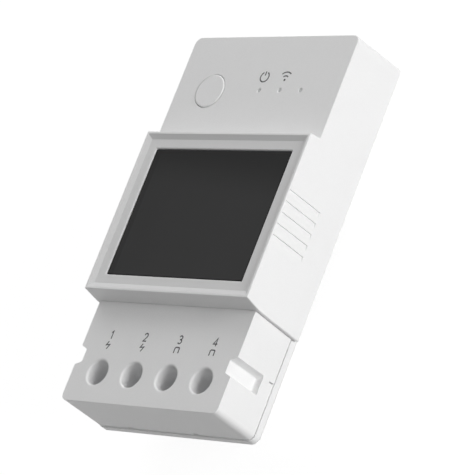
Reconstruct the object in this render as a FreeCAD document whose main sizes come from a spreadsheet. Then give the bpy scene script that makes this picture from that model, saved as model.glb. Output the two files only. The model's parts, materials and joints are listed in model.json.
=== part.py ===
"""Three-module switch with a screen, a button, screw terminals and a clip for a 35 mm rail.

The part lies on its back. +Z comes out of the front, +Y runs toward the button end, +X is to the right, and the
origin is the middle of the footprint on the plane of the rail feet. Every length is in millimetres.
"""
import FreeCAD, Part
import Sketcher
import math
import os
import re

SIZES = [
    # Case
    ("case_length", 98.5, "whole length, from the base's lower end to the cover's upper end"),
    ("case_width", 54.0, "whole width, three rail modules"),
    ("case_height", 31.0, "rail feet to the rim of the raised frame"),
    ("cover_lap", 0.9, "cover's back edge in front of the back of the base's rim"),
    ("cover_wall", 1.6, "wall of the front cover"),
    ("end_draft", 0.6, "how far the cover's upper end leans out toward the back"),
    ("seam_gap", 0.15, "gap between two shells where they meet"),
    ("seam_groove", 0.3, "shadow groove along the seam, toward the front"),
    ("seam_groove_depth", 0.45, "that groove, into the base's rim"),
    ("corner_radius", 2.0, "cover's two upper corners"),
    ("soft_edge", 0.2, "rounding of the shells' outer edges"),
    # Raised frame and its recess
    ("panel_drop", 3.4, "rim down to the flat panel with the button"),
    ("panel_length", 28.65, "case's upper end to the rim's upper edge"),
    ("terminal_length", 27.35, "case's lower end to the rim's lower edge"),
    ("riser_run", 0.35, "lean of the step between panel and rim"),
    ("riser_foot", 0.4, "hollow rounding at the foot of that step"),
    ("chin_run", 0.85, "lean of the cover's lower end, from the rim to the terminal face"),
    ("underside_run", 0.4, "lean of the cover's lower end, from the terminal face to its back edge"),
    ("rim_width", 0.6, "flat rim round the recess"),
    ("recess_depth", 0.65, "rim down to the recess floor"),
    ("recess_run", 1.25, "width of the bevel between rim and recess floor"),
    # Screen stack, from the front to the back
    ("window_side", 4.5, "case's side to the visible window"),
    ("window_above", 4.3, "rim's upper edge to the visible window"),
    ("window_below", 4.27, "rim's lower edge to the visible window"),
    ("window_gap", 0.2, "gap round the window"),
    ("window_edge", 0.35, "rounding of the opening's front edge"),
    ("window_sink", 0.25, "window's face below the recess floor"),
    ("window_round", 0.12, "rounding of the window's face"),
    ("window_border", 1.0, "flange of the window behind the cover's wall"),
    ("window_flange", 1.0, "thickness of that flange"),
    ("foam_thickness", 0.4, "foam frame between window and glass"),
    ("foam_width", 1.6, "width of the foam frame's bars"),
    ("glass_inset", 1.1, "window's edge to the display glass's edge"),
    ("glass_thickness", 1.9, "display glass"),
    ("glass_gap", 0.15, "gap round the glass in its holder"),
    ("backlight_thickness", 2.65, "floor of the display's holder, with its lamp"),
    ("holder_wall", 1.1, "wall of the display's holder"),
    ("holder_grip", 1.4, "height that the holder's wall stands beside the glass"),
    # Button, lights and their switch
    ("button_side", 11.7, "case's left side to the button's middle"),
    ("button_end", 15.6, "case's upper end to the button's middle"),
    ("button_radius", 4.45, "round cap"),
    ("button_gap", 0.12, "gap round the cap"),
    ("button_round", 0.35, "rounding of the cap's edge"),
    ("button_rise", 0.2, "cap's face in front of the panel"),
    ("button_flange", 0.9, "the cap's flange, beyond the hole"),
    ("button_flange_thickness", 0.6, "thickness of that flange"),
    ("button_flange_gap", 0.15, "flange to the panel's back"),
    ("button_stem", 1.4, "radius of the cap's stem"),
    ("button_travel", 0.3, "how far the button goes in"),
    ("tact_width", 5.2, "body of the tact switch"),
    ("tact_height", 1.5, "body of the tact switch"),
    ("tact_plunger", 1.2, "radius of its plunger"),
    ("tact_reach", 0.4, "plunger above the body"),
    ("tact_root", 0.2, "plunger inside the body at rest"),
    ("light_x", 1.05, "first pinhole light, right of the case's middle"),
    ("light_end", 15.4, "case's upper end to the lights"),
    ("light_pitch", 6.75, "from one light to the next"),
    ("light_radius", 0.45, "light pipe's pins"),
    ("light_gap", 0.03, "gap round a pin"),
    ("light_sink", 0.2, "pin's end below the panel"),
    ("light_mouth", 0.3, "rounding of a light hole's mouth"),
    ("button_mouth", 0.15, "rounding of the button hole's mouth"),
    ("light_bar", 2.0, "bar that joins the pins, along"),
    ("light_bar_thickness", 1.0, "the bar's thickness"),
    ("light_leg", 1.2, "leg at each end of the bar"),
    ("lamp_length", 1.6, "lamp under each pin"),
    ("lamp_width", 0.8, "lamp under each pin"),
    ("lamp_height", 0.6, "lamp under each pin"),
    # Grooves in the frame's sides
    ("groove_first", 6.1, "steep wall of the first groove above the case's middle"),
    ("groove_pitch", 2.88, "from one groove to the next"),
    ("groove_depth", 0.4, "depth at the steep wall"),
    ("groove_width", 1.4, "steep wall to where the slope runs out"),
    ("groove_length", 11.4, "length of a groove, toward the back"),
    ("groove_start", 0.35, "rim down to the groove's front end"),
    # Terminal housing
    ("terminal_drop", 5.1, "rim down to the terminal face"),
    ("terminal_inset", 1.1, "housing's side inside the cover's side"),
    ("housing_wall", 1.5, "wall of the terminal housing"),
    ("housing_draft", 0.25, "lean of the housing's end face"),
    ("base_lip", 0.25, "base's end beyond the housing's end"),
    ("housing_corner", 1.7, "rounding of the housing's two lower corners"),
    ("terminal_end", 8.2, "case's lower end to the terminals' middle"),
    ("access_radius", 3.15, "hole for the screwdriver"),
    ("access_edge", 0.5, "rounding of its mouth"),
    ("cage_top_gap", 0.35, "raised cage to the shelf above it"),
    ("screw_head_radius", 2.95, "terminal screw's head"),
    ("screw_head_height", 2.0, "terminal screw's head"),
    ("screw_cross_length", 3.5, "short arm of the cross slot, tip to tip"),
    ("screw_radius", 1.75, "terminal screw's shank"),
    ("screw_slot_width", 0.9, "cross slot in the head"),
    ("screw_slot_depth", 0.9, "cross slot in the head"),
    ("screw_fit", 0.05, "gap between head and shelf, and round the shank in the clamp"),
    ("shelf_hole_gap", 0.25, "gap round the shank in the shelf"),
    ("shelf_thickness", 0.8, "shelf that the head turns on"),
    ("partition", 1.2, "wall between two terminals"),
    ("barrier_gap", 0.6, "cage to the wall between terminals and relay"),
    ("notch_mouth", 5.0, "side notch at the surface, along"),
    ("notch_floor", 3.3, "side notch at its floor, along"),
    ("notch_depth", 2.1, "side notch"),
    ("notch_length", 9.6, "side notch, from the face toward the back"),
    ("notch_end", 12.25, "case's lower end to the side notch's middle"),
    ("notch_backing", 1.3, "wall left behind the notch"),
    ("notch_round", 0.4, "hollow rounding inside the notch"),
    ("latch_length", 4.5, "slot at the seam, along"),
    ("latch_height", 1.6, "slot at the seam, toward the front"),
    ("latch_depth", 1.0, "slot at the seam, into the side"),
    ("latch_tongue", 0.5, "base's tongue in that slot"),
    ("pry_left", 13.9, "left pry notch in the end face, left of the middle"),
    ("pry_right", 7.8, "right pry notch in the end face, right of the middle"),
    ("pry_width", 2.0, "pry notch, across"),
    ("pry_height", 0.8, "pry notch, toward the front"),
    ("pry_depth", 0.7, "pry notch, into the end face"),
    # Rear base
    ("rail_depth", 4.0, "rail feet to the plane that the rail's face rests on"),
    ("platform_depth", 6.1, "that plane to the back of the base's rim"),
    ("base_rim", 2.3, "thickness of the base's rim, up to the seam"),
    ("base_floor", 1.0, "floor of the platform"),
    ("base_wall", 1.0, "side walls of the platform"),
    ("base_end_wall", 1.1, "the platform's end wall with the wire entries"),
    ("base_corner", 2.0, "base's two lower corners"),
    ("base_edge", 0.4, "rounding of the base rim's back edge"),
    ("platform_side", 4.25, "housing's side to the raised back's side"),
    ("platform_round", 3.6, "rounding along the raised back"),
    ("platform_inset", 3.7, "base's lower end to the raised back's end"),
    ("platform_top_gap", 0.8, "cover's inner end to the raised back's upper end"),
    # Rail feet, hooks and clip
    ("rail_width", 35.0, "top-hat rail"),
    ("rail_fit", 0.3, "gap beside the rail's edge"),
    ("rail_edge", 1.0, "thickness of the rail's edge"),
    ("rail_edge_gap", 0.3, "gap over the rail's edge"),
    ("foot_side", 7.15, "raised back's side to the feet's side"),
    ("foot_length", 20.0, "upper foot, along"),
    ("clip_foot_length", 19.2, "lower foot, along"),
    ("hook_reach", 1.8, "hooks and clip's nose behind the rail's edge"),
    ("hook_width", 8.5, "each fixed hook"),
    ("hook_bevel", 1.2, "lead-in of hooks and nose"),
    ("clip_width", 12.0, "rail clip's bar"),
    ("clip_sink", 0.4, "clip's back above the feet's plane"),
    ("clip_gap", 0.2, "running gap round the clip"),
    ("clip_ear", 2.0, "clip's ear beyond each side of its bar"),
    ("clip_ear_thickness", 1.4, "those ears"),
    ("clip_tail_inset", 5.5, "base's lower end to the clip's tail"),
    ("clip_eye_length", 1.8, "slot for a screwdriver in the tail, along"),
    ("clip_eye_width", 5.0, "slot for a screwdriver in the tail, across"),
    ("clip_eye_margin", 1.4, "that slot to the tail's end"),
    ("clip_travel", 4.5, "how far the clip pulls out"),
    ("clip_skin", 0.8, "clip's back behind the spring"),
    ("spring_radius", 1.2, "clip's spring, to the outside of its wire"),
    ("spring_wire", 0.4, "spring wire's diameter"),
    ("spring_pressed", 5.0, "clip's spring when the clip is pulled out"),
    ("spring_turns", 8.0, "turns of the spring"),
    ("spring_gap", 0.1, "gap at the spring's ends"),
    ("spring_side_gap", 0.3, "gap beside the spring in its pocket"),
    ("spring_post", 1.5, "base's post that the spring bears on, along"),
    ("post_y", 32.2, "that post's spring face below the case's middle"),
    ("clip_stop", 0.1, "post to the pocket's end, where the clip stops"),
    # Clamp cages and busbars
    ("entry_width", 4.8, "wire entry, and the way through a cage"),
    ("entry_height", 4.2, "wire entry in the raised back's end"),
    ("cage_gap", 0.2, "running gap round a cage"),
    ("cage_wall", 0.8, "cage's sides"),
    ("cage_floor", 0.7, "cage's floor, which presses the wire"),
    ("cage_round", 2.4, "rounding under a cage"),
    ("cage_length", 6.4, "cage, along"),
    ("cage_nut", 1.6, "cage's threaded head"),
    ("cage_travel", 3.0, "how far a cage rises"),
    ("nut_gap", 0.3, "busbar to the cage's head when it is open"),
    ("tip_gap", 0.15, "busbar to the screw's tip"),
    ("busbar_width", 4.0, "busbar"),
    ("busbar_thickness", 1.0, "busbar"),
    ("busbar_end_gap", 0.3, "busbar's end to the base's end wall"),
    ("busbar_leg_gap", 0.7, "wall between terminals and relay to the busbar's leg"),
    ("busbar_solder", 0.9, "busbar's leg behind the board"),
    # Boards and what holds them
    ("board_rise", 2.2, "main board above the platform's floor"),
    ("board_thickness", 1.6, "main board"),
    ("board_side", 0.45, "main board to the platform's side walls"),
    ("board_low_gap", 0.3, "main board to the wall between terminals and relay"),
    ("board_top_gap", 0.6, "main board to the platform's upper end wall"),
    ("board_slot_gap", 0.1, "gap round a leg or post in a board"),
    ("display_board_thickness", 1.4, "display board"),
    ("display_board_side", 1.7, "display board to the cover's side walls"),
    ("display_board_low_gap", 0.95, "display board to the cover's lower end wall"),
    ("display_board_top_gap", 2.6, "display board to the cover's upper end wall"),
    ("case_screw_side", 3.05, "case screws to the platform's side walls"),
    ("case_screw_end", 5.4, "upper case screws to the cover's upper end wall"),
    ("case_screw_low", 7.9, "lower case screws to the middle of the wall between terminals and relay"),
    ("case_screw_radius", 1.3, "case screw's shank"),
    ("case_screw_head", 2.2, "case screw's head, radius"),
    ("case_screw_head_height", 1.25, "case screw's head"),
    ("case_screw_sink", 0.6, "case screw's head below the rail plane"),
    ("case_screw_length", 10.0, "case screw, under its head"),
    ("case_screw_fit", 0.05, "gap round the shank in its boss"),
    ("case_screw_pass", 0.2, "gap round the shank in base and board, and round its head"),
    ("boss_radius", 2.4, "screw bosses of the shells"),
    ("boss_gap", 0.1, "boss to the board"),
    ("post_radius", 3.4, "base's posts under the board"),
    ("display_post_side", 3.5, "display board's posts to the cover's side walls"),
    ("display_post_rise", 3.65, "lower posts above the rim's upper edge"),
    ("display_post_end", 8.4, "upper posts to the cover's upper end wall"),
    ("display_post_radius", 1.5, "display board's posts"),
    ("board_screw_radius", 0.8, "display board's screws"),
    ("board_screw_head", 1.5, "display board's screws, head radius"),
    ("board_screw_head_height", 0.9, "display board's screws, head"),
    ("board_screw_length", 3.6, "display board's screws, under the head"),
    # Electrical parts on the main board
    ("relay_side", 0.95, "relay to the screw bosses beside it"),
    ("relay_length", 12.5, "relay, along"),
    ("relay_gap", 1.0, "relay to the housing in front of it"),
    ("relay_end", 0.65, "relay to the busbars' legs"),
    ("tall_gap", 1.2, "capacitors, coil and transformer to the display board"),
    ("capacitor_radius", 4.0, "storage capacitors"),
    ("film_width", 13.0, "suppression capacitor, across"),
    ("film_length", 5.0, "suppression capacitor, along"),
    ("film_gap", 2.0, "suppression capacitor to the display board"),
    ("core_width", 13.4, "transformer's core, across"),
    ("core_length", 6.2, "transformer's core, along"),
    ("coil_length", 12.0, "transformer's winding, along"),
    ("coil_width", 9.4, "transformer's winding, across"),
    ("choke_radius", 4.6, "line choke"),
    ("choke_gap", 3.1, "line choke to the display board"),
    ("varistor_gap", 2.9, "varistor's disc to the display board"),
    ("varistor_thickness", 3.6, "varistor's disc"),
    ("fuse_radius", 1.9, "fuse"),
    ("fuse_length", 8.5, "fuse"),
    ("fuse_lead", 0.35, "fuse's lead wires, radius"),
    ("shunt_width", 4.0, "shunt's strip"),
    ("shunt_length", 12.0, "shunt, along"),
    ("shunt_height", 4.2, "shunt's bridge above the board"),
    ("shunt_thickness", 1.2, "shunt's strip"),
    ("chip_width", 4.0, "metering chip, across"),
    ("chip_length", 10.0, "metering chip, along"),
    ("chip_height", 1.75, "metering chip"),
    ("module_width", 13.2, "radio module, across"),
    ("module_length", 16.6, "radio module, along"),
    ("module_thickness", 0.8, "radio module's board"),
    ("shield_width", 11.6, "radio shield, across"),
    ("shield_length", 11.8, "radio shield, along"),
    ("shield_height", 1.6, "radio shield"),
    ("header_pitch", 2.54, "pins of the board header"),
    ("header_pin", 0.64, "square pins"),
    ("header_body", 2.5, "header's plastic strip, across and up"),
    ("header_side", 1.8, "board header's middle to the main board's edge"),
    ("header_rise", 26.45, "board header's middle above the relay"),
    # Where they stand
    ("core_gap", 1.7, "transformer's core to the storage capacitors"),
    ("core_end", 15.9, "transformer's middle to the main board's upper edge"),
    ("can_gap", 0.2, "storage capacitors beside the radio module, seen from the front"),
    ("can_end", 19.8, "first storage capacitor to the main board's upper edge"),
    ("can_pitch", 9.8, "from one storage capacitor to the next"),
    ("film_x", -9.0, "suppression capacitor"),
    ("film_rise", 6.85, "suppression capacitor above the relay"),
    ("choke_x", -12.6, "line choke"),
    ("choke_rise", 17.85, "line choke above the relay"),
    ("varistor_x", 6.0, "varistor"),
    ("varistor_rise", 5.85, "varistor above the relay"),
    ("fuse_x", 15.4, "fuse"),
    ("fuse_rise", 7.85, "fuse above the relay"),
    ("shunt_x", 12.0, "shunt"),
    ("shunt_rise", 21.95, "shunt above the relay"),
    ("chip_x", 0.0, "metering chip"),
    ("chip_rise", 21.45, "metering chip above the relay"),
    ("module_side", 0.8, "radio module to the heads of the screws beside it"),
    ("module_end", 13.8, "radio module's middle to the display board's upper edge"),
    ("shield_inset", 0.8, "radio shield to the module's lower edge"),
]

# Counts, and how far a cut runs past the face that it opens
TERMINALS = 4
GROOVES = 5
LIGHTS = 3
HEADER_PINS = 6
PAST = "1"

# Planes across the part, from the back to the front
RAIL_PLANE = "rail_depth"
FLOOR = "(rail_depth + base_floor)"
RIM_BACK = "(rail_depth + platform_depth)"
SEAM = "(rail_depth + platform_depth + base_rim)"
COVER_BACK = "(case_height - cover_depth)"
TERMINAL_FACE = "(case_height - terminal_drop)"
PANEL = "(case_height - panel_drop)"
PANEL_BACK = f"({PANEL} - cover_wall)"
RECESS_FLOOR = "(case_height - recess_depth)"
FRAME_BACK = f"({RECESS_FLOOR} - cover_wall)"

BOARD_BACK = f"({FLOOR} + board_rise)"
BOARD_FRONT = f"({BOARD_BACK} + board_thickness)"
FOAM_FRONT = f"({FRAME_BACK} - window_flange)"
GLASS_FRONT = f"({FOAM_FRONT} - foam_thickness)"
GLASS_BACK = f"({GLASS_FRONT} - glass_thickness)"
DISPLAY_FRONT = f"({GLASS_BACK} - backlight_thickness)"
DISPLAY_BACK = f"({DISPLAY_FRONT} - display_board_thickness)"

CAGE_BOTTOM = f"({FLOOR} + cage_gap)"
WAY_BOTTOM = f"({CAGE_BOTTOM} + cage_floor)"
BUSBAR_BACK = f"({RIM_BACK} + board_slot_gap)"
BUSBAR_FRONT = f"({BUSBAR_BACK} + busbar_thickness)"
NUT_BACK = f"({BUSBAR_FRONT} + nut_gap)"
NUT_FRONT = f"({NUT_BACK} + cage_nut)"
HEAD_FRONT = f"({TERMINAL_FACE} - screw_sink)"
HEAD_BACK = f"({HEAD_FRONT} - screw_head_height)"
SHELF_FRONT = f"({HEAD_BACK} - screw_fit)"
SHELF_BACK = f"({SHELF_FRONT} - shelf_thickness)"

# Planes along and beside the part
HALF_WIDTH = "(case_width / 2)"
HALF_LENGTH = "(case_length / 2)"
INNER_X = "(case_width / 2 - cover_wall)"
HOUSING_X = "(case_width / 2 - terminal_inset)"
TONGUE_X = f"({INNER_X} - seam_gap)"
HOUSING_INNER_X = f"({HOUSING_X} - housing_wall)"
HOUSING_END = f"(-{HALF_LENGTH} + base_lip)"
HOUSING_END_INNER = f"({HOUSING_END} + housing_draft + housing_wall)"
COVER_TOP_INNER = f"({HALF_LENGTH} - end_draft - cover_wall)"
FRAME_LOW_INNER = "(-frame_bottom + cover_wall)"
PLATFORM_X = "(platform_width / 2)"
PLATFORM_INNER_X = "(platform_width / 2 - base_wall)"
PLATFORM_END = f"(-{HALF_LENGTH} + platform_inset)"
PLATFORM_END_INNER = f"({PLATFORM_END} + base_end_wall)"
PLATFORM_TOP_INNER = "(platform_top - base_wall)"
RAIL_EDGE_Y = "(rail_width / 2 + rail_fit)"
HOOK_FRONT = "(rail_depth - rail_edge - rail_edge_gap)"
CLIP_FRONT = "(rail_depth - clip_gap)"
EAR_BACK = f"({CLIP_FRONT} - clip_ear_thickness)"
CLIP_POCKET_BACK = "(clip_sink + clip_skin)"
NOTCH_BACK = f"({TERMINAL_FACE} - notch_length)"

# Sizes that follow from the others
CAGE_X = "(entry_width / 2 + cage_wall)"
FOLLOWING = [
    ("frame_top", f"{HALF_LENGTH} - panel_length", "middle of the case to the rim's upper edge"),
    ("frame_bottom", f"{HALF_LENGTH} - terminal_length", "middle of the case to the rim's lower edge"),
    ("cover_depth", f"case_height - {RIM_BACK} - cover_lap", "rim of the raised frame to the cover's back edge"),
    ("window_width", "case_width - 2 * window_side", "visible window, across"),
    ("window_length", "frame_top + frame_bottom - window_above - window_below", "visible window, along"),
    ("window_offset", "(frame_bottom - window_below - frame_top + window_above) / 2",
     "window's middle below the case's middle"),
    ("glass_width", "window_width - 2 * glass_inset", "display glass, across"),
    ("glass_length", "window_length - 2 * glass_inset", "display glass, along"),
    ("button_x", f"{HALF_WIDTH} - button_side", "button's middle, left of the case's middle"),
    ("button_y", f"{HALF_LENGTH} - button_end", "button's middle above the case's middle"),
    ("light_y", f"{HALF_LENGTH} - light_end", "lights above the case's middle"),
    ("platform_width", f"2 * ({HOUSING_X} - platform_side)", "raised back, across"),
    ("terminal_y", f"{HALF_LENGTH} - terminal_end", "terminals below the case's middle"),
    ("terminal_pitch", f"2 * ({PLATFORM_INNER_X} - cage_gap - {CAGE_X}) / {TERMINALS - 1}",
     "from one terminal to the next"),
    ("barrier_y", "terminal_y - cage_length / 2 - barrier_gap - partition / 2",
     "wall between terminals and relay, below the case's middle"),
    ("screw_sink", f"{TERMINAL_FACE} - {NUT_FRONT} - cage_travel - cage_top_gap - shelf_thickness - screw_fit"
     " - screw_head_height", "terminal face down to the screw's head"),
    ("notch_y", f"{HALF_LENGTH} - notch_end", "side notch's middle below the case's middle"),
    ("platform_top", f"{COVER_TOP_INNER} - platform_top_gap", "raised back's upper end above the case's middle"),
    ("foot_width", f"2 * ({PLATFORM_X} - foot_side)", "feet, across"),
    ("clip_tail", f"{HALF_LENGTH} - clip_tail_inset", "clip's tail below the case's middle"),
    ("spring_length", "clip_travel + spring_pressed", "clip's spring at rest"),
    ("busbar_leg_y", "barrier_y - partition / 2 - busbar_leg_gap", "busbar's leg below the case's middle"),
    ("board_width", f"2 * ({PLATFORM_INNER_X} - board_side)", "main board, across"),
    ("board_bottom", "barrier_y - partition / 2 - board_low_gap", "main board's lower edge below the case's middle"),
    ("board_top", f"{PLATFORM_TOP_INNER} - board_top_gap", "main board's upper edge above the case's middle"),
    ("display_board_width", f"2 * ({INNER_X} - display_board_side)", "display board, across"),
    ("display_board_bottom", f"-{FRAME_LOW_INNER} - display_board_low_gap",
     "display board's lower edge below the case's middle"),
    ("display_board_top", f"{COVER_TOP_INNER} - display_board_top_gap",
     "display board's upper edge above the case's middle"),
    ("case_screw_x", f"{PLATFORM_INNER_X} - case_screw_side", "case screws from the middle"),
    ("case_screw_top", f"{COVER_TOP_INNER} - case_screw_end", "upper case screws above the case's middle"),
    ("case_screw_bottom", "barrier_y - case_screw_low", "lower case screws below the case's middle"),
    ("display_post_x", f"{INNER_X} - display_post_side", "display board's posts from the middle"),
    ("display_post_low", "frame_top + display_post_rise", "lower posts above the case's middle"),
    ("display_post_high", f"{COVER_TOP_INNER} - display_post_end", "upper posts above the case's middle"),
    ("relay_width", "2 * (case_screw_x - boss_radius - relay_side)", "relay, across"),
    ("relay_height", f"{TERMINAL_FACE} - housing_wall - relay_gap - {BOARD_FRONT}", "relay"),
    ("relay_y", "busbar_leg_y - busbar_thickness - relay_end - relay_length / 2",
     "relay's middle below the case's middle"),
    ("relay_edge", "relay_length / 2 - relay_y", "relay's upper side above the case's middle"),
    ("tall_part", f"{DISPLAY_BACK} - tall_gap - {BOARD_FRONT}", "height of the capacitors, coil and transformer"),
    ("film_height", f"{DISPLAY_BACK} - film_gap - {BOARD_FRONT}", "suppression capacitor"),
    ("choke_height", f"{DISPLAY_BACK} - choke_gap - {BOARD_FRONT}", "line choke"),
    ("varistor_radius", f"({DISPLAY_BACK} - varistor_gap - board_slot_gap - {BOARD_FRONT}) / 2", "varistor's disc"),
    ("header_x", "board_width / 2 - header_side", "board header, right of the middle"),
    ("header_y", "relay_edge + header_rise", "board header's middle above the case's middle"),
    ("module_x", "board_screw_head + module_side + module_width / 2 - display_post_x", "radio module"),
    ("module_y", "display_board_top - module_end", "radio module"),
    ("can_x", "module_x + module_width / 2 + can_gap + capacitor_radius", "storage capacitors"),
    ("can_y", "board_top - can_end", "first storage capacitor"),
    ("core_x", "can_x + capacitor_radius + core_gap + core_width / 2", "transformer"),
    ("core_y", "board_top - core_end", "transformer"),
    ("film_y", "relay_edge + film_rise", "suppression capacitor"),
    ("choke_y", "relay_edge + choke_rise", "line choke"),
    ("varistor_y", "relay_edge + varistor_rise", "varistor"),
    ("fuse_y", "relay_edge + fuse_rise", "fuse"),
    ("shunt_y", "relay_edge + shunt_rise", "shunt"),
    ("chip_y", "relay_edge + chip_rise", "metering chip"),
]

SHEET_OF = {alias: "Sizes" for alias, value, meaning in SIZES}
WORD = re.compile(r"[A-Za-z_][A-Za-z_0-9]*")

doc = FreeCAD.newDocument("rail_switch")


def spelled(formula):
    """A formula with the sheet's name before each size."""
    return WORD.sub(lambda word: f"{SHEET_OF[word[0]]}.{word[0]}" if word[0] in SHEET_OF else word[0], formula)


def fill_sheet(name, rows):
    """A sheet with a row for each size: its meaning, and its value under its own name."""
    made = doc.addObject("Spreadsheet::Sheet", name)
    for row, (alias, value, meaning) in enumerate(rows, 1):
        made.set(f"A{row}", meaning)
        made.setAlias(f"B{row}", alias)
        made.set(f"B{row}", value)


fill_sheet("Sizes", [(alias, str(value), meaning) for alias, value, meaning in SIZES])
fill_sheet("Fits", [(alias, "=" + spelled(formula), meaning) for alias, formula, meaning in FOLLOWING])
SHEET_OF.update((alias, "Fits") for alias, formula, meaning in FOLLOWING)
doc.recompute()

pieces = []


def bind(item, path, formula):
    """Ties one property of an object to a formula on the sheet's sizes."""
    item.setExpression(path, spelled(formula))


def place(item, x, y, z):
    """Ties an object's corner or centre to three formulas."""
    for axis, formula in zip("xyz", (x, y, z)):
        bind(item, f".Placement.Base.{axis}", formula)


def size_box(box, x, y, z):
    """Ties a box to its low and high face on each axis."""
    for side, (low, high) in zip(("Length", "Width", "Height"), (x, y, z)):
        bind(box, side, f"({high}) - ({low})")
    place(box, x[0], y[0], z[0])


TURNS = {
    "x": FreeCAD.Rotation(FreeCAD.Vector(0, 1, 0), 90),
    "y": FreeCAD.Rotation(FreeCAD.Vector(1, 0, 0), -90),
    "z": FreeCAD.Rotation(),
}


def size_rod(rod, axis, centre, radius, ends):
    """Ties a cylinder along an axis: its centre on the two other axes, its radius and its two ends."""
    rod.Placement = FreeCAD.Placement(FreeCAD.Vector(), TURNS[axis])
    bind(rod, "Radius", radius)
    bind(rod, "Height", f"({ends[1]}) - ({ends[0]})")
    spots = list(centre)
    spots.insert("xyz".index(axis), ends[0])
    place(rod, *spots)


def terminal_x(number):
    """Formula for the middle of a terminal, counted from 0 at the left."""
    return f"(({number} - {(TERMINALS - 1) / 2}) * terminal_pitch)"


def about(middle, width):
    """The two faces of a thing of some width about its middle."""
    return f"({middle}) - ({width}) / 2", f"({middle}) + ({width}) / 2"


def both_sides(low, high):
    """A span on the right and the same span on the left."""
    return (low, high), (f"-({high})", f"-({low})")


class Piece:
    """A piece of the switch made as one body, feature by feature."""

    def __init__(self, label):
        self.body = doc.addObject("PartDesign::Body", label)
        self.body.Label = label
        pieces.append(self.body)

    def block(self, name, x, y, z, cut=False):
        """A box added to the body, or cut from it."""
        kind = "PartDesign::SubtractiveBox" if cut else "PartDesign::AdditiveBox"
        box = self.body.newObject(kind, name)
        size_box(box, x, y, z)
        return box

    def rod(self, name, axis, centre, radius, ends, cut=False):
        """A cylinder added to the body, or cut from it."""
        kind = "PartDesign::SubtractiveCylinder" if cut else "PartDesign::AdditiveCylinder"
        rod = self.body.newObject(kind, name)
        size_rod(rod, axis, centre, radius, ends)
        return rod

    def outline(self, name, role, shapes, offset=("0", "0", "0")):
        """A sketch on one of the body's own planes, with every corner of its closed shapes tied to formulas."""
        sketch = self.body.newObject("Sketcher::SketchObject", name)
        plane = next(item for item in self.body.Origin.OriginFeatures if item.Role == role)
        sketch.AttachmentSupport = [(plane, "")]
        sketch.MapMode = "FlatFace"
        for axis, formula in zip("xyz", offset):
            bind(sketch, f".AttachmentOffset.Base.{axis}", formula)
        for corners in shapes:
            self._loop(sketch, corners)
        return sketch

    @staticmethod
    def _loop(sketch, corners):
        """One closed shape of a sketch, drawn round a ring first and then held by its formulas."""
        first = sketch.GeometryCount
        count = len(corners)
        ring = [2 * math.pi * number / count for number in range(count)]
        spots = [FreeCAD.Vector(math.cos(turn), math.sin(turn), 0) for turn in ring]
        for number in range(count):
            sketch.addGeometry(Part.LineSegment(spots[number], spots[(number + 1) % count]), False)
        for number in range(count):
            after = first + (number + 1) % count
            sketch.addConstraint(Sketcher.Constraint("Coincident", first + number, 2, after, 1))
        for number, corner in enumerate(corners):
            for kind, formula, start in zip(("DistanceX", "DistanceY"), corner, spots[number]):
                line = first + number
                held = sketch.addConstraint(Sketcher.Constraint(kind, -1, 1, line, 1, start))
                bind(sketch, f"Constraints[{held}]", formula)

    def pad(self, name, sketch, length, midplane=False, cut=False, reverse=False):
        """Draws a sketch out into the body, or cuts it away."""
        pad = self.body.newObject("PartDesign::Pocket" if cut else "PartDesign::Pad", name)
        pad.Profile = sketch
        pad.Midplane = midplane
        pad.Reversed = reverse
        bind(pad, "Length", length)
        return pad

    def turn(self, name, centre, corners, cut=False):
        """Turns a profile, given as radius and height, about an upright axis."""
        x, y = centre
        sketch = self.outline(name + "_profile", "XZ_Plane", [corners], (x, "0", f"-({y})"))
        kind = "PartDesign::Groove" if cut else "PartDesign::Revolution"
        turned = self.body.newObject(kind, name)
        turned.Profile = sketch
        turned.ReferenceAxis = (sketch, ["V_Axis"])
        turned.Angle = 360
        return turned

    def round_edges(self, name, radius, chosen):
        """Rounds the edges of the body that the test picks."""
        doc.recompute()
        last = self.body.Tip
        names = [f"Edge{number}" for number, edge in enumerate(last.Shape.Edges, 1) if chosen(edge.BoundBox)]
        if not names:
            raise ValueError(f"{self.body.Label}: no edge for {name}")
        rounding = self.body.newObject("PartDesign::Fillet", name)
        rounding.Base = (last, names)
        bind(rounding, "Radius", radius)
        return rounding


def near(value, alias_value, slack=0.02):
    """True where a coordinate lies on a plane."""
    return abs(value - alias_value) < slack


def along(box, axis, least=1.0):
    """True for a straight edge along one axis."""
    spans = {"x": box.XLength, "y": box.YLength, "z": box.ZLength}
    return spans.pop(axis) > least and all(span < 0.02 for span in spans.values())


def size(alias):
    """A size as a number, for tests that pick edges."""
    return float(doc.getObject(SHEET_OF[alias]).get(alias))


def node(label, shapes):
    """A node made of plain solids: one solid as it is, or several joined as one piece."""
    joined = doc.addObject("Part::MultiFuse", label)
    joined.Shapes = shapes
    joined.Label = label
    pieces.append(joined)
    return joined


def group(label, shapes):
    """A node of identical pieces that stay separate solids."""
    together = doc.addObject("Part::Compound", label)
    together.Links = shapes
    together.Label = label
    pieces.append(together)
    return together


def solid_box(name, x, y, z):
    """A plain box that a node is made from."""
    box = doc.addObject("Part::Box", name)
    size_box(box, x, y, z)
    return box


def solid_rod(name, axis, centre, radius, ends):
    """A plain cylinder that a node is made from."""
    rod = doc.addObject("Part::Cylinder", name)
    size_rod(rod, axis, centre, radius, ends)
    return rod


def less(name, whole, away):
    """One plain solid with another cut away."""
    rest = doc.addObject("Part::Cut", name)
    rest.Base = whole
    rest.Tool = away
    return rest


def underside(height, gap="0"):
    """Formula for the cover's leaning lower end at a height behind the terminal face, with a gap beside it."""
    share = f"({TERMINAL_FACE} - {height}) / ({TERMINAL_FACE} - {COVER_BACK})"
    return f"(-frame_bottom - chin_run - underside_run * {share} - {gap})"


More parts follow.
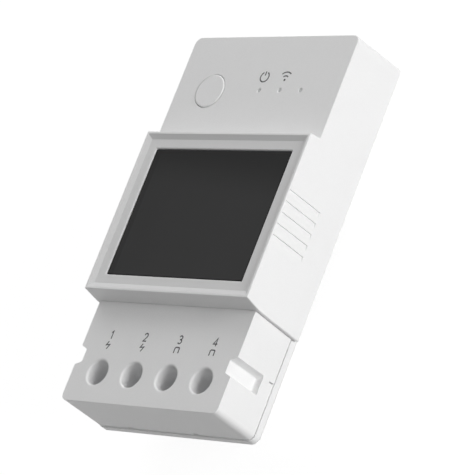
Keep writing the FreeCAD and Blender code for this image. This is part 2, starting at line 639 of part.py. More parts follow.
# Front cover
def make_front_cover():
    """Upper shell: flat panel, raised frame with a bevelled recess, side walls with wedge grooves."""
    cover = Piece("front_cover")
    top = f"{HALF_LENGTH} - end_draft"
    side = [
        (HALF_LENGTH, COVER_BACK),
        (top, PANEL),
        ("frame_top + riser_run", PANEL),
        ("frame_top", "case_height"),
        ("-frame_bottom", "case_height"),
        (underside(TERMINAL_FACE), TERMINAL_FACE),
        (underside(COVER_BACK), COVER_BACK),
    ]
    cover.pad("cover_outer", cover.outline("cover_side", "YZ_Plane", [side]), "case_width", midplane=True)
    half, length = size("case_width") / 2, size("case_length") / 2
    back = size("case_height") - size("cover_depth")
    panel = size("case_height") - size("panel_drop")
    foot = size("frame_top") + size("riser_run")
    cover.round_edges("cover_foot", "riser_foot", lambda b: near(b.YMin, foot) and near(b.ZMin, panel)
                      and along(b, "x"))
    cover.round_edges("cover_corners", "corner_radius", lambda b: near(b.YMax, length) and b.ZMax > panel - 1
                      and near(b.XLength, 0) and near(abs(b.XMin), half))
    cover.round_edges("cover_edges", "soft_edge", lambda b: b.ZMax > back + 0.02
                      and (b.ZMin > panel - 0.02 or b.YMax < 0)
                      and not (near(b.XLength, 0) and near(b.ZMin, back) and b.YMax > 0)
                      and not (along(b, "x") and b.YMin < foot + size("riser_foot") + 0.1
                               and panel - 0.02 < b.ZMin < panel + size("riser_foot") + 0.1))

    inner_x = (f"-{INNER_X}", INNER_X)
    cover.block("cover_hollow", inner_x, (FRAME_LOW_INNER, COVER_TOP_INNER), (f"{COVER_BACK} - {PAST}", PANEL_BACK),
                cut=True)
    cover.block("frame_hollow", inner_x, (FRAME_LOW_INNER, "frame_top - cover_wall"),
                (f"{PANEL_BACK} - {PAST}", FRAME_BACK), cut=True)
    cover.block("cover_mouth", inner_x, (f"{underside(COVER_BACK)} - {PAST}", f"{FRAME_LOW_INNER} + {PAST}"),
                (f"{COVER_BACK} - {PAST}", f"{TERMINAL_FACE} + seam_gap"), cut=True)

    recess = cover.body.newObject("PartDesign::SubtractiveWedge", "recess")
    recess.Placement = FreeCAD.Placement(FreeCAD.Vector(), TURNS["y"])
    place(recess, "0", "0", "case_height")
    rim = {"X": (f"-{HALF_WIDTH} + rim_width", f"{HALF_WIDTH} - rim_width"),
           "Z": ("-frame_bottom + rim_width", "frame_top - rim_width")}
    for axis, (low, high) in rim.items():
        bind(recess, f"{axis}min", low)
        bind(recess, f"{axis}max", high)
        bind(recess, f"{axis}2min", f"{low} + recess_run")
        bind(recess, f"{axis}2max", f"{high} - recess_run")
    bind(recess, "Ymin", "0")
    bind(recess, "Ymax", "recess_depth")
    cover.block("window_opening", about("0", "window_width"), about("-window_offset", "window_length"),
                (f"{FRAME_BACK} - {PAST}", f"{RECESS_FLOOR} + recess_depth / 2"), cut=True)

    through = (f"{PANEL_BACK} - {PAST}", f"{PANEL} + {PAST}")
    cover.rod("button_hole", "z", ("-button_x", "button_y"), "button_radius + button_gap", through, cut=True)
    for number in range(LIGHTS):
        cover.rod("light_hole", "z", (f"light_x + {number} * light_pitch", "light_y"), "light_radius + light_gap",
                  through, cut=True)
    floor = size("case_height") - size("recess_depth")
    hole = size("button_radius") + size("button_gap")
    cover.round_edges("window_edges", "window_edge", lambda b: near(b.ZMin, floor) and near(b.ZMax, floor)
                      and b.XMax < half - size("rim_width") - size("recess_run") - 0.02
                      and b.XMin > size("rim_width") + size("recess_run") + 0.02 - half)
    cover.round_edges("light_mouths", "light_mouth", lambda b: near(b.ZMin, panel) and near(b.ZMax, panel)
                      and b.XLength < 2 * size("light_radius") + 0.2)
    cover.round_edges("button_mouth", "button_mouth", lambda b: near(b.ZMin, panel) and near(b.ZMax, panel)
                      and near(b.XLength, 2 * hole, 0.1))

    wedges = []
    for sign in ("", "-"):
        for number in range(GROOVES):
            steep = f"(groove_first - {number} * groove_pitch)"
            beyond = f"{sign}({HALF_WIDTH} + {PAST})"
            deep = f"{sign}({HALF_WIDTH} - groove_depth)"
            slope = f"{steep} - groove_width * (1 + {PAST} / groove_depth)"
            wedges.append([(beyond, steep), (deep, steep), (beyond, slope)])
    low = "(case_height - groove_start - groove_length)"
    grooves = cover.outline("groove_wedges", "XY_Plane", wedges, ("0", "0", low))
    cover.pad("grooves", grooves, "groove_length", cut=True, reverse=True)

    into_panel = f"{PANEL_BACK} + cover_wall / 2"
    for sign in ("", "-"):
        spot = (f"{sign}case_screw_x", "case_screw_top")
        cover.rod("cover_boss", "z", spot, "boss_radius", (f"{BOARD_FRONT} + boss_gap", into_panel))
        bore_end = f"{RAIL_PLANE} + case_screw_sink + case_screw_head_height + case_screw_length + boss_gap"
        cover.rod("cover_boss_bore", "z", spot, "case_screw_radius + case_screw_fit", (BOARD_FRONT, bore_end),
                  cut=True)
        for level in ("display_post_low", "display_post_high"):
            spot = (f"{sign}display_post_x", level)
            cover.rod("display_post", "z", spot, "display_post_radius", (DISPLAY_FRONT, into_panel))
            bore_end = f"{DISPLAY_BACK} + board_screw_length + boss_gap"
            cover.rod("display_post_bore", "z", spot, "board_screw_radius + case_screw_fit",
                      (f"{DISPLAY_FRONT} - {PAST}", bore_end), cut=True)


# Screen window and the display behind it
def make_screen():
    """Smoked window, foam frame, display glass and the holder with its lamp."""
    across = about("0", "window_width - 2 * window_gap")
    lengthwise = about("-window_offset", "window_length - 2 * window_gap")
    window = Piece("screen_window")
    window.block("window_face", across, lengthwise, (FRAME_BACK, f"{RECESS_FLOOR} - window_sink"))
    window.block("window_rim", about("0", "window_width + 2 * window_border"),
                 about("-window_offset", "window_length + 2 * window_border"), (FOAM_FRONT, FRAME_BACK))
    face = size("case_height") - size("recess_depth") - size("window_sink")
    window.round_edges("window_face_edges", "window_round", lambda b: near(b.ZMin, face) and near(b.ZMax, face))

    foam = Piece("lcd_foam_frame")
    foam.block("foam_outer", about("0", "glass_width"), about("-window_offset", "glass_length"),
               (GLASS_FRONT, FOAM_FRONT))
    foam.block("foam_inner", about("0", "glass_width - 2 * foam_width"),
               about("-window_offset", "glass_length - 2 * foam_width"),
               (f"{GLASS_FRONT} - {PAST}", f"{FOAM_FRONT} + {PAST}"), cut=True)

    glass = Piece("lcd_panel")
    glass.block("glass", about("0", "glass_width"), about("-window_offset", "glass_length"),
                (GLASS_BACK, GLASS_FRONT))

    holder = Piece("lcd_holder")
    grow = "2 * (glass_gap + holder_wall)"
    holder.block("holder_outer", about("0", f"glass_width + {grow}"),
                 about("-window_offset", f"glass_length + {grow}"), (DISPLAY_FRONT, f"{GLASS_BACK} + holder_grip"))
    holder.block("holder_pocket", about("0", "glass_width + 2 * glass_gap"),
                 about("-window_offset", "glass_length + 2 * glass_gap"),
                 (GLASS_BACK, f"{GLASS_FRONT} + {PAST}"), cut=True)


# Button, tact switch and lights
def make_button_and_lights():
    """Button cap with flange and stem, the tact switch under it, the light pipe and its three lamps."""
    spot = ("-button_x", "button_y")
    flange_front = f"({PANEL_BACK} - button_flange_gap)"
    flange_back = f"({flange_front} - button_flange_thickness)"
    stem_back = f"({DISPLAY_FRONT} + tact_height + tact_reach)"
    flange = "(button_radius + button_gap + button_flange)"
    cap = Piece("button_cap")
    cap.turn("cap", spot, [
        ("0", stem_back),
        ("button_stem", stem_back),
        ("button_stem", flange_back),
        (flange, flange_back),
        (flange, flange_front),
        ("button_radius", flange_front),
        ("button_radius", f"({PANEL} + button_rise)"),
        ("0", f"({PANEL} + button_rise)"),
    ])
    radius = size("button_radius")
    face = size("case_height") - size("panel_drop") + size("button_rise")
    cap.round_edges("cap_edge", "button_round", lambda b: near(b.ZMin, face) and near(b.XLength, 2 * radius, 0.3))

    body_top = f"({DISPLAY_FRONT} + tact_height)"
    tact = Piece("tact_switch")
    tact.block("tact_body", about(spot[0], "tact_width"), about(spot[1], "tact_width"), (DISPLAY_FRONT, body_top))
    tact.rod("tact_well", "z", spot, "tact_plunger + case_screw_fit",
             (f"{body_top} - tact_root - button_travel - case_screw_fit", f"{body_top} + {PAST}"), cut=True)
    plunger = Piece("tact_plunger")
    plunger.rod("plunger", "z", spot, "tact_plunger", (f"{body_top} - tact_root", stem_back))

    span = f"({LIGHTS - 1} * light_pitch)"
    bar_back = f"({DISPLAY_FRONT} + tact_height)"
    bar_front = f"({bar_back} + light_bar_thickness)"
    ends = (f"light_x - light_bar / 2 - light_leg", f"light_x + {span} + light_bar / 2 + light_leg")
    pipe = Piece("light_pipe")
    pipe.block("light_bar", ends, about("light_y", "light_bar"), (bar_back, bar_front))
    for low, high in ((ends[0], f"{ends[0]} + light_leg"), (f"{ends[1]} - light_leg", ends[1])):
        pipe.block("light_leg", (low, high), about("light_y", "light_bar"), (DISPLAY_FRONT, bar_front))
    for number in range(LIGHTS):
        x = f"light_x + {number} * light_pitch"
        pipe.rod("light_pin", "z", (x, "light_y"), "light_radius",
                 (f"{DISPLAY_FRONT} + lamp_height + light_sink", f"{PANEL} - light_sink"))
    lamps = [solid_box("lamp", about(f"light_x + {number} * light_pitch", "lamp_length"),
                       about("light_y", "lamp_width"), (DISPLAY_FRONT, f"{DISPLAY_FRONT} + lamp_height"))
             for number in range(LIGHTS)]
    group("status_leds", lamps)


# Terminal housing
def make_terminal_housing():
    """Lower shell: access holes over a shelf, partitions, side notches, seam slots and pry notches."""
    housing = Piece("terminal_housing")
    side = [
        (HOUSING_END, SEAM),
        (f"{HOUSING_END} + housing_draft", TERMINAL_FACE),
        (underside(TERMINAL_FACE, "seam_gap"), TERMINAL_FACE),
        (underside(SEAM, "seam_gap"), SEAM),
    ]
    housing.pad("housing_outer", housing.outline("housing_side", "YZ_Plane", [side]), f"2 * {HOUSING_X}",
                midplane=True)
    face = size("case_height") - size("terminal_drop")
    seam = size("rail_depth") + size("platform_depth") + size("base_rim")
    low_end = -size("case_length") / 2 + size("base_lip") + size("housing_draft")
    upper_end = -size("frame_bottom") - size("chin_run")
    housing.round_edges("housing_corners", "housing_corner", lambda b: b.ZMin < seam + 0.02 and b.ZMax > face - 0.02
                        and b.YMax < low_end + 0.02)
    housing.round_edges("housing_edges", "soft_edge / 2", lambda b: near(b.ZMin, face) and b.YMin < upper_end)

    housing.block("tongue", (f"-{TONGUE_X}", TONGUE_X),
                  (f"{underside(SEAM, 'seam_gap')} - housing_wall", "-frame_bottom + cover_wall / 2"),
                  (SEAM, f"{TERMINAL_FACE}"))
    barrier = ("(-barrier_y - partition / 2)", "(-barrier_y + partition / 2)")
    inner_x = (f"-{HOUSING_INNER_X}", HOUSING_INNER_X)
    housing.block("terminal_hollow", inner_x, (HOUSING_END_INNER, barrier[0]), (f"{SEAM} - {PAST}", SHELF_BACK),
                  cut=True)
    housing.block("relay_hollow", inner_x, (barrier[1], f"-frame_bottom + cover_wall / 2 + {PAST}"),
                  (f"{SEAM} - {PAST}", f"{TERMINAL_FACE} - housing_wall"), cut=True)
    for number in range(1, TERMINALS):
        middle = f"(({number} - {TERMINALS / 2}) * terminal_pitch)"
        housing.block("housing_partition", about(middle, "partition"),
                      (f"{HOUSING_END_INNER} - housing_wall / 2", f"{barrier[0]} + partition / 2"),
                      (SEAM, f"{SHELF_BACK} + shelf_thickness / 2"))
    for number in range(TERMINALS):
        spot = (terminal_x(number), "-terminal_y")
        housing.rod("access_hole", "z", spot, "access_radius", (SHELF_FRONT, f"{TERMINAL_FACE} + {PAST}"), cut=True)
        housing.rod("shank_hole", "z", spot, "screw_radius + shelf_hole_gap",
                    (f"{SHELF_BACK} - {PAST}", f"{SHELF_FRONT} + {PAST}"), cut=True)
    access = size("access_radius")
    housing.round_edges("access_edges", "access_edge", lambda b: near(b.ZMin, face) and near(b.ZMax, face)
                        and near(b.XLength, 2 * access) and near(b.YLength, 2 * access))

    deep = f"({HOUSING_X} - notch_depth)"
    for x in both_sides(f"{deep} - notch_backing", f"{HOUSING_INNER_X} + housing_wall / 2"):
        housing.block("notch_backing", x, about("-notch_y", "notch_mouth + 2 * notch_backing"),
                      (f"{NOTCH_BACK} - notch_backing", f"{TERMINAL_FACE} - housing_wall / 2"))
    notches = []
    for sign in ("", "-"):
        beyond = f"{sign}({HOUSING_X} + {PAST})"
        flare = f"(notch_mouth / 2 + (notch_mouth - notch_floor) / 2 * {PAST} / notch_depth)"
        notches.append([
            (beyond, f"-notch_y + {flare}"),
            (f"{sign}{deep}", "-notch_y + notch_floor / 2"),
            (f"{sign}{deep}", "-notch_y - notch_floor / 2"),
            (beyond, f"-notch_y - {flare}"),
        ])
    notch_sketch = housing.outline("notch_outline", "XY_Plane", notches, ("0", "0", NOTCH_BACK))
    housing.pad("notches", notch_sketch, f"notch_length + {PAST}", cut=True, reverse=True)
    floor_x = size("case_width") / 2 - size("terminal_inset") - size("notch_depth")
    notch_back = face - size("notch_length")
    housing.round_edges("notch_floors", "notch_round", lambda b: near(min(abs(b.XMin), abs(b.XMax)), floor_x)
                        and (along(b, "z") or near(b.ZMin, notch_back) and near(b.ZMax, notch_back)))

    for x in both_sides(f"{HOUSING_X} - latch_depth", f"{HOUSING_X} + {PAST}"):
        housing.block("latch_slot", x, about("-notch_y", "latch_length"),
                      (f"{SEAM} - {PAST}", f"{SEAM} + latch_height"), cut=True)
    for middle in ("-pry_left", "pry_right"):
        housing.block("pry_notch", about(middle, "pry_width"),
                      (f"{HOUSING_END} - {PAST}", f"{HOUSING_END} + pry_depth"),
                      (f"{SEAM} - {PAST}", f"{SEAM} + pry_height"), cut=True)
    for sign in ("", "-"):
        spot = (f"{sign}case_screw_x", "-case_screw_bottom")
        housing.rod("housing_boss", "z", spot, "boss_radius",
                    (f"{BOARD_FRONT} + boss_gap", f"{TERMINAL_FACE} - housing_wall / 2"))
        bore_end = f"{RAIL_PLANE} + case_screw_sink + case_screw_head_height + case_screw_length + boss_gap"
        housing.rod("housing_boss_bore", "z", spot, "case_screw_radius + case_screw_fit", (BOARD_FRONT, bore_end),
                    cut=True)


# Rear base
def make_rear_base():
    """Back shell: hollow raised back, rim, rail feet with two hooks, clip track, wire entries and board posts."""
    base = Piece("rear_base")
    base.block("platform", (f"-{PLATFORM_X}", PLATFORM_X), (PLATFORM_END, "platform_top"), (RAIL_PLANE, SEAM))
    hollow_x, hollow_y = (f"-{PLATFORM_INNER_X}", PLATFORM_INNER_X), (PLATFORM_END_INNER, PLATFORM_TOP_INNER)
    base.block("base_hollow", hollow_x, hollow_y, (FLOOR, f"{SEAM} + {PAST}"), cut=True)
    rail_plane = size("rail_depth")
    floor = rail_plane + size("base_floor")
    whole_side = size("case_length") / 2
    base.round_edges("hollow_sides", "platform_round - base_wall", lambda b: along(b, "y", whole_side)
                     and near(b.ZMin, floor))
    screws = [(f"{sign}case_screw_x", y) for sign in ("", "-") for y in ("case_screw_top", "-case_screw_bottom")]
    for spot in screws:
        base.rod("board_post", "z", spot, "post_radius", (f"{FLOOR} - base_floor / 2", BOARD_BACK))
    base.round_edges("platform_sides", "platform_round", lambda b: along(b, "y", whole_side)
                     and near(b.ZMin, rail_plane))
    low_end = -size("case_length") / 2
    base.block("rim_neck", (f"-{HOUSING_X} + seam_groove_depth", f"{HOUSING_X} - seam_groove_depth"),
               (f"-{HALF_LENGTH} + seam_groove_depth", underside(RIM_BACK, "seam_gap")),
               (f"{SEAM} - base_rim / 2", SEAM))
    neck_end = low_end + size("seam_groove_depth")
    base.round_edges("neck_corners", "base_corner - seam_groove_depth", lambda b: along(b, "z")
                     and near(b.YMin, neck_end))
    base.block("housing_rim", (f"-{HOUSING_X}", HOUSING_X), (f"-{HALF_LENGTH}", underside(RIM_BACK, "seam_gap")),
               (RIM_BACK, f"{SEAM} - seam_groove"))
    base.round_edges("rim_corners", "base_corner", lambda b: along(b, "z") and near(b.YMin, low_end))
    rim_back = rail_plane + size("platform_depth")
    rim_x = size("case_width") / 2 - size("terminal_inset")
    base.round_edges("rim_edges", "base_edge", lambda b: near(b.ZMin, rim_back) and near(b.ZMax, rim_back)
                     and (near(b.YMin, low_end) or b.XMin > rim_x - 0.02 or b.XMax < 0.02 - rim_x))
    base.block("cover_rim", (f"-{TONGUE_X}", TONGUE_X),
               (f"{underside(RIM_BACK, 'seam_gap')} - base_wall", f"{COVER_TOP_INNER} - seam_gap"), (RIM_BACK, SEAM))
    base.block("rim_opening", hollow_x, hollow_y, (f"{RIM_BACK} - {PAST}", f"{SEAM} + {PAST}"), cut=True)

    foot_x = about("0", "foot_width")
    into_floor = f"{RAIL_PLANE} + base_floor / 2"
    base.block("upper_foot", foot_x, (RAIL_EDGE_Y, f"{RAIL_EDGE_Y} + foot_length"), ("0", into_floor))
    base.block("lower_foot", foot_x, (f"-{RAIL_EDGE_Y} - clip_foot_length", f"-{RAIL_EDGE_Y}"), ("0", into_floor))
    hook = [
        (f"{RAIL_EDGE_Y} + hook_reach", "0"),
        (f"{RAIL_EDGE_Y} - hook_reach + hook_bevel", "0"),
        (f"{RAIL_EDGE_Y} - hook_reach", "hook_bevel"),
        (f"{RAIL_EDGE_Y} - hook_reach", HOOK_FRONT),
        (f"{RAIL_EDGE_Y} + hook_reach", HOOK_FRONT),
    ]
    for start in ("foot_width / 2 - hook_width", "-foot_width / 2"):
        base.pad("hook", base.outline("hook_side", "YZ_Plane", [hook], ("0", "0", start)), "hook_width")

    track = (f"-{RAIL_EDGE_Y} - clip_foot_length - {PAST}", f"-{RAIL_EDGE_Y} + {PAST}")
    base.block("track_narrow", about("0", "clip_width + 2 * clip_gap"), track, (f"-{PAST}", RAIL_PLANE), cut=True)
    base.block("track_wide", about("0", "clip_width + 2 * clip_ear + 2 * clip_gap"), track,
               (f"{EAR_BACK} - clip_gap", RAIL_PLANE), cut=True)
    base.block("spring_post", about("0", "2 * spring_radius"), ("-post_y - spring_post", "-post_y"),
               (f"{CLIP_POCKET_BACK} + clip_gap", into_floor))

    for number in range(TERMINALS):
        base.block("wire_entry", about(terminal_x(number), "entry_width"),
                   (f"{PLATFORM_END} - {PAST}", f"{PLATFORM_END_INNER} + {PAST}"),
                   (f"{RIM_BACK} - entry_height", RIM_BACK), cut=True)
    for number in range(1, TERMINALS):
        middle = f"(({number} - {TERMINALS / 2}) * terminal_pitch)"
        base.block("base_partition", about(middle, "partition"),
                   (f"{PLATFORM_END_INNER} - base_wall / 2", "-barrier_y + partition / 2"),
                   (f"{FLOOR} - base_floor / 2", SEAM))
    for x in both_sides(f"{HOUSING_X} - latch_depth + seam_gap", f"{HOUSING_X} - latch_depth + latch_tongue"):
        base.block("latch_tongue", x, about("-notch_y", "latch_length - 2 * seam_gap"),
                   (f"{SEAM} - base_rim / 2", f"{SEAM} + latch_height - seam_gap"))

    for spot in screws:
        base.rod("screw_hole", "z", spot, "case_screw_radius + case_screw_pass",
                 (f"{RAIL_PLANE} - {PAST}", f"{BOARD_BACK} + {PAST}"), cut=True)
        base.rod("screw_sink", "z", spot, "case_screw_head + case_screw_pass",
                 (f"{RAIL_PLANE} - {PAST}", f"{RAIL_PLANE} + case_screw_sink + case_screw_head_height"), cut=True)


# Rail clip and its spring
def make_rail_clip():
    """Sliding clip with a bevelled nose, two ears, a spring pocket and a screwdriver eye in its tail."""
    clip = Piece("rail_clip")
    nose = f"(-{RAIL_EDGE_Y} + hook_reach)"
    shoulder = f"(-{RAIL_EDGE_Y} - clip_gap)"
    side = [
        ("-clip_tail", "clip_sink"),
        (f"{nose} - hook_bevel", "clip_sink"),
        (nose, "clip_sink + hook_bevel"),
        (nose, HOOK_FRONT),
        (shoulder, HOOK_FRONT),
        (shoulder, CLIP_FRONT),
        ("-clip_tail", CLIP_FRONT),
    ]
    clip.pad("clip_bar", clip.outline("clip_side", "YZ_Plane", [side]), "clip_width", midplane=True)
    clip.block("clip_ears", about("0", "clip_width + 2 * clip_ear"),
               (f"-{RAIL_EDGE_Y} - clip_foot_length + clip_gap", f"{shoulder} - clip_gap"), (EAR_BACK, CLIP_FRONT))
    spring_face = "(-post_y + spring_length + 2 * spring_gap)"
    pocket = ("-post_y - spring_post - clip_stop", spring_face)
    clip.block("spring_pocket", about("0", "2 * (spring_radius + spring_side_gap)"), pocket,
               (CLIP_POCKET_BACK, f"{CLIP_FRONT} + {PAST}"), cut=True)
    eye = ("-clip_tail + clip_eye_margin", "-clip_tail + clip_eye_margin + clip_eye_length")
    clip.block("clip_eye", about("0", "clip_eye_width"), eye, (f"clip_sink - {PAST}", f"{CLIP_FRONT} + {PAST}"),
               cut=True)

    radius, wire = size("spring_radius"), size("spring_wire")
    length, turns = size("spring_length"), size("spring_turns")
    start = -size("post_y") + size("spring_gap")
    middle = size("clip_sink") + size("clip_skin") + size("spring_gap") + radius
    coil_radius = radius - wire / 2
    path = Part.makeHelix((length - wire) / turns, length - wire, coil_radius)
    ring = Part.Wire(Part.makeCircle(wire / 2, FreeCAD.Vector(coil_radius, 0, 0), FreeCAD.Vector(0, 1, 0)))
    spring = doc.addObject("Part::Feature", "rail_clip_spring")
    spring.Shape = Part.Wire(path.Edges).makePipeShell([ring], True, True)
    spring.Placement = FreeCAD.Placement(FreeCAD.Vector(0, start + wire / 2, middle), TURNS["y"])
    pieces.append(spring)


# Terminals
def make_terminal(number):
    """One terminal: a screw with a cross slot, the clamp cage that it raises, and the busbar inside the cage."""
    x, y = terminal_x(number), "-terminal_y"
    tip = f"({BUSBAR_FRONT} + tip_gap)"
    screw = Piece(f"terminal_screw_{number + 1}")
    screw.turn("screw", (x, y), [
        ("0", tip),
        ("screw_radius", tip),
        ("screw_radius", HEAD_BACK),
        ("screw_head_radius", HEAD_BACK),
        ("screw_head_radius", HEAD_FRONT),
        ("0", HEAD_FRONT),
    ])
    slot_z = (f"{HEAD_FRONT} - screw_slot_depth", f"{HEAD_FRONT} + {PAST}")
    screw.block("slot", about(x, f"2 * (screw_head_radius + {PAST})"), about(y, "screw_slot_width"), slot_z, cut=True)
    screw.block("cross", about(x, "screw_slot_width"), about(y, "screw_cross_length"), slot_z, cut=True)

    cage = Piece(f"terminal_cage_{number + 1}")
    outer = f"2 * {CAGE_X}"
    cage.block("cage_outer", about(x, outer), about(y, "cage_length"), (CAGE_BOTTOM, NUT_FRONT))
    bottom = size("rail_depth") + size("base_floor") + size("cage_gap")
    cage.round_edges("cage_under", "cage_round", lambda b: along(b, "y") and near(b.ZMin, bottom))
    cage.block("cage_way", about(x, "entry_width"), about(y, f"cage_length + 2 * {PAST}"), (WAY_BOTTOM, NUT_BACK),
               cut=True)
    way = bottom + size("cage_floor")
    cage.round_edges("cage_way_corners", "cage_round - cage_wall", lambda b: along(b, "y") and near(b.ZMin, way))
    cage.rod("cage_thread", "z", (x, y), "screw_radius + screw_fit",
             (f"{NUT_BACK} - {PAST}", f"{NUT_FRONT} + {PAST}"), cut=True)

    bar = Piece(f"busbar_{number + 1}")
    leg = ("(-busbar_leg_y)", "(-busbar_leg_y + busbar_thickness)")
    bar.block("bar", about(x, "busbar_width"), (f"{PLATFORM_END_INNER} + busbar_end_gap", leg[1]),
              (BUSBAR_BACK, BUSBAR_FRONT))
    bar.block("leg", about(x, "busbar_width"), leg, (f"{BOARD_BACK} - busbar_solder", BUSBAR_FRONT))


# Boards
def make_boards():
    """Main board with holes for screws and busbar legs, display board, header, and the screws of both."""
    board = Piece("main_board")
    board.block("board_plate", about("0", "board_width"), ("-board_bottom", "board_top"), (BOARD_BACK, BOARD_FRONT))
    through = (f"{BOARD_BACK} - {PAST}", f"{BOARD_FRONT} + {PAST}")
    screws = [(f"{sign}case_screw_x", y) for sign in ("", "-") for y in ("case_screw_top", "-case_screw_bottom")]
    for spot in screws:
        board.rod("board_hole", "z", spot, "case_screw_radius + case_screw_pass", through, cut=True)
    for number in range(TERMINALS):
        board.block("leg_slot", about(terminal_x(number), "busbar_width + 2 * board_slot_gap"),
                    ("-busbar_leg_y - board_slot_gap", "-busbar_leg_y + busbar_thickness + board_slot_gap"), through,
                    cut=True)

    display = Piece("display_board")
    display.block("display_plate", about("0", "display_board_width"), ("-display_board_bottom", "display_board_top"),
                  (DISPLAY_BACK, DISPLAY_FRONT))
    through = (f"{DISPLAY_BACK} - {PAST}", f"{DISPLAY_FRONT} + {PAST}")
    heads = []
    for sign in ("", "-"):
        display.rod("boss_hole", "z", (f"{sign}case_screw_x", "case_screw_top"), "boss_radius + 3 * board_slot_gap",
                    through, cut=True)
        for level in ("display_post_low", "display_post_high"):
            spot = (f"{sign}display_post_x", level)
            display.rod("post_hole", "z", spot, "board_screw_radius + board_slot_gap", through, cut=True)
            head = solid_rod("board_screw_head", "z", spot, "board_screw_head",
                             (f"{DISPLAY_BACK} - board_screw_head_height", DISPLAY_BACK))
            shank = solid_rod("board_screw_shank", "z", spot, "board_screw_radius",
                              (f"{DISPLAY_BACK} - board_screw_head_height / 2",
                               f"{DISPLAY_BACK} + board_screw_length"))
            screw = doc.addObject("Part::MultiFuse", "board_screw")
            screw.Shapes = [head, shank]
            heads.append(screw)
    group("display_board_screws", heads)

    case_screws = []
    head_back = f"({RAIL_PLANE} + case_screw_sink)"
    head_front = f"({head_back} + case_screw_head_height)"
    for spot in screws:
        head = solid_rod("case_screw_head", "z", spot, "case_screw_head", (head_back, head_front))
        shank = solid_rod("case_screw_shank", "z", spot, "case_screw_radius",
                          (f"{head_front} - case_screw_head_height / 2", f"{head_front} + case_screw_length"))
        slot = solid_box("case_screw_slot", about(spot[0], "3 * case_screw_head"),
                         about(spot[1], "board_screw_radius"),
                         (f"{head_back} - {PAST}", f"{head_back} + case_screw_head_height / 2"))
        whole = doc.addObject("Part::MultiFuse", "case_screw_whole")
        whole.Shapes = [head, shank]
        case_screws.append(less("case_screw", whole, slot))
    group("case_screws", case_screws)

    length = f"({HEADER_PINS} * header_pitch)"
    strip = solid_box("header_strip", about("header_x", "header_body"), about("header_y", length),
                      (BOARD_FRONT, f"{BOARD_FRONT} + header_body"))
    pins = [solid_box("header_pin", about("header_x", "header_pin"),
                      about(f"header_y + ({number} - {(HEADER_PINS - 1) / 2}) * header_pitch", "header_pin"),
                      (f"{BOARD_FRONT} + header_body / 2", DISPLAY_BACK)) for number in range(HEADER_PINS)]
    node("board_header", [strip] + pins)


# Electrical parts
def make_electrics():
    """Bought-in parts that stand on the two boards."""
    relay = Piece("relay")
    relay.block("relay_case", about("0", "relay_width"), about("-relay_y", "relay_length"),
                (BOARD_FRONT, f"{BOARD_FRONT} + relay_height"))
    relay.round_edges("relay_edges", "soft_edge", lambda b: along(b, "z"))

    core = solid_box("core", about("core_x", "core_width"), about("core_y", "core_length"),
                     (BOARD_FRONT, f"{BOARD_FRONT} + tall_part"))
    coil = solid_box("coil", about("core_x", "coil_width"), about("core_y", "coil_length"),
                     (f"{BOARD_FRONT} + base_floor", f"{BOARD_FRONT} + tall_part - base_floor"))
    node("transformer", [core, coil])

    cans = [solid_rod("can", "z", ("can_x", y), "capacitor_radius", (BOARD_FRONT, f"{BOARD_FRONT} + tall_part"))
            for y in ("can_y", "can_y + can_pitch")]
    group("bulk_capacitors", cans)

    film = Piece("suppression_capacitor")
    film.block("film_case", about("film_x", "film_width"), about("film_y", "film_length"),
               (BOARD_FRONT, f"{BOARD_FRONT} + film_height"))
    film.round_edges("film_edges", "soft_edge", lambda b: along(b, "z"))

    choke = Piece("line_choke")
    spot = ("choke_x", "choke_y")
    choke.rod("choke_body", "z", spot, "choke_radius", (BOARD_FRONT, f"{BOARD_FRONT} + choke_height"))
    choke.rod("choke_eye", "z", spot, "choke_radius / 3",
              (f"{BOARD_FRONT} + choke_height / 2", f"{BOARD_FRONT} + choke_height + {PAST}"), cut=True)

    disc = Piece("varistor")
    disc.rod("disc", "y", ("varistor_x", f"{BOARD_FRONT} + varistor_radius + board_slot_gap"), "varistor_radius",
             about("varistor_y", "varistor_thickness"))
    disc.block("disc_leads", about("varistor_x", "varistor_radius"), about("varistor_y", "varistor_thickness / 3"),
               (BOARD_FRONT, f"{BOARD_FRONT} + varistor_radius"))

    fuse_z = f"({BOARD_FRONT} + fuse_radius + 3 * board_slot_gap)"
    tube = solid_rod("fuse_tube", "y", ("fuse_x", fuse_z), "fuse_radius", about("fuse_y", "fuse_length"))
    leads = [solid_rod("fuse_lead", "z", ("fuse_x", y), "fuse_lead", (BOARD_FRONT, fuse_z))
             for y in ("fuse_y - fuse_length / 2 + 3 * fuse_lead", "fuse_y + fuse_length / 2 - 3 * fuse_lead")]
    node("fuse", [tube] + leads)

    shunt = Piece("shunt")
    shunt.block("shunt_strip", about("shunt_x", "shunt_width"), about("shunt_y", "shunt_length"),
                (BOARD_FRONT, f"{BOARD_FRONT} + shunt_height"))
    shunt.block("shunt_arch", about("shunt_x", f"shunt_width + 2 * {PAST}"),
                about("shunt_y", "shunt_length - 2 * shunt_thickness"),
                (f"{BOARD_FRONT} - {PAST}", f"{BOARD_FRONT} + shunt_height - shunt_thickness"), cut=True)

    chip = Piece("metering_chip")
    chip.block("chip_case", about("chip_x", "chip_width"), about("chip_y", "chip_length"),
               (BOARD_FRONT, f"{BOARD_FRONT} + chip_height"))

    module_back = f"({DISPLAY_BACK} - module_thickness)"
    module = Piece("radio_module")
    module.block("module_plate", about("module_x", "module_width"), about("module_y", "module_length"),
                 (module_back, DISPLAY_BACK))
    shield = Piece("radio_shield")
    shield_low = "(module_y - module_length / 2 + shield_inset)"
    shield.block("shield_can", about("module_x", "shield_width"), (shield_low, f"{shield_low} + shield_length"),
                 (f"{module_back} - shield_height", module_back))
    shield.round_edges("shield_edges", "soft_edge", lambda b: along(b, "z"))


make_front_cover()
make_screen()
make_button_and_lights()
make_terminal_housing()
make_rear_base()
make_rail_clip()
for terminal in range(TERMINALS):
    make_terminal(terminal)
make_boards()
make_electrics()

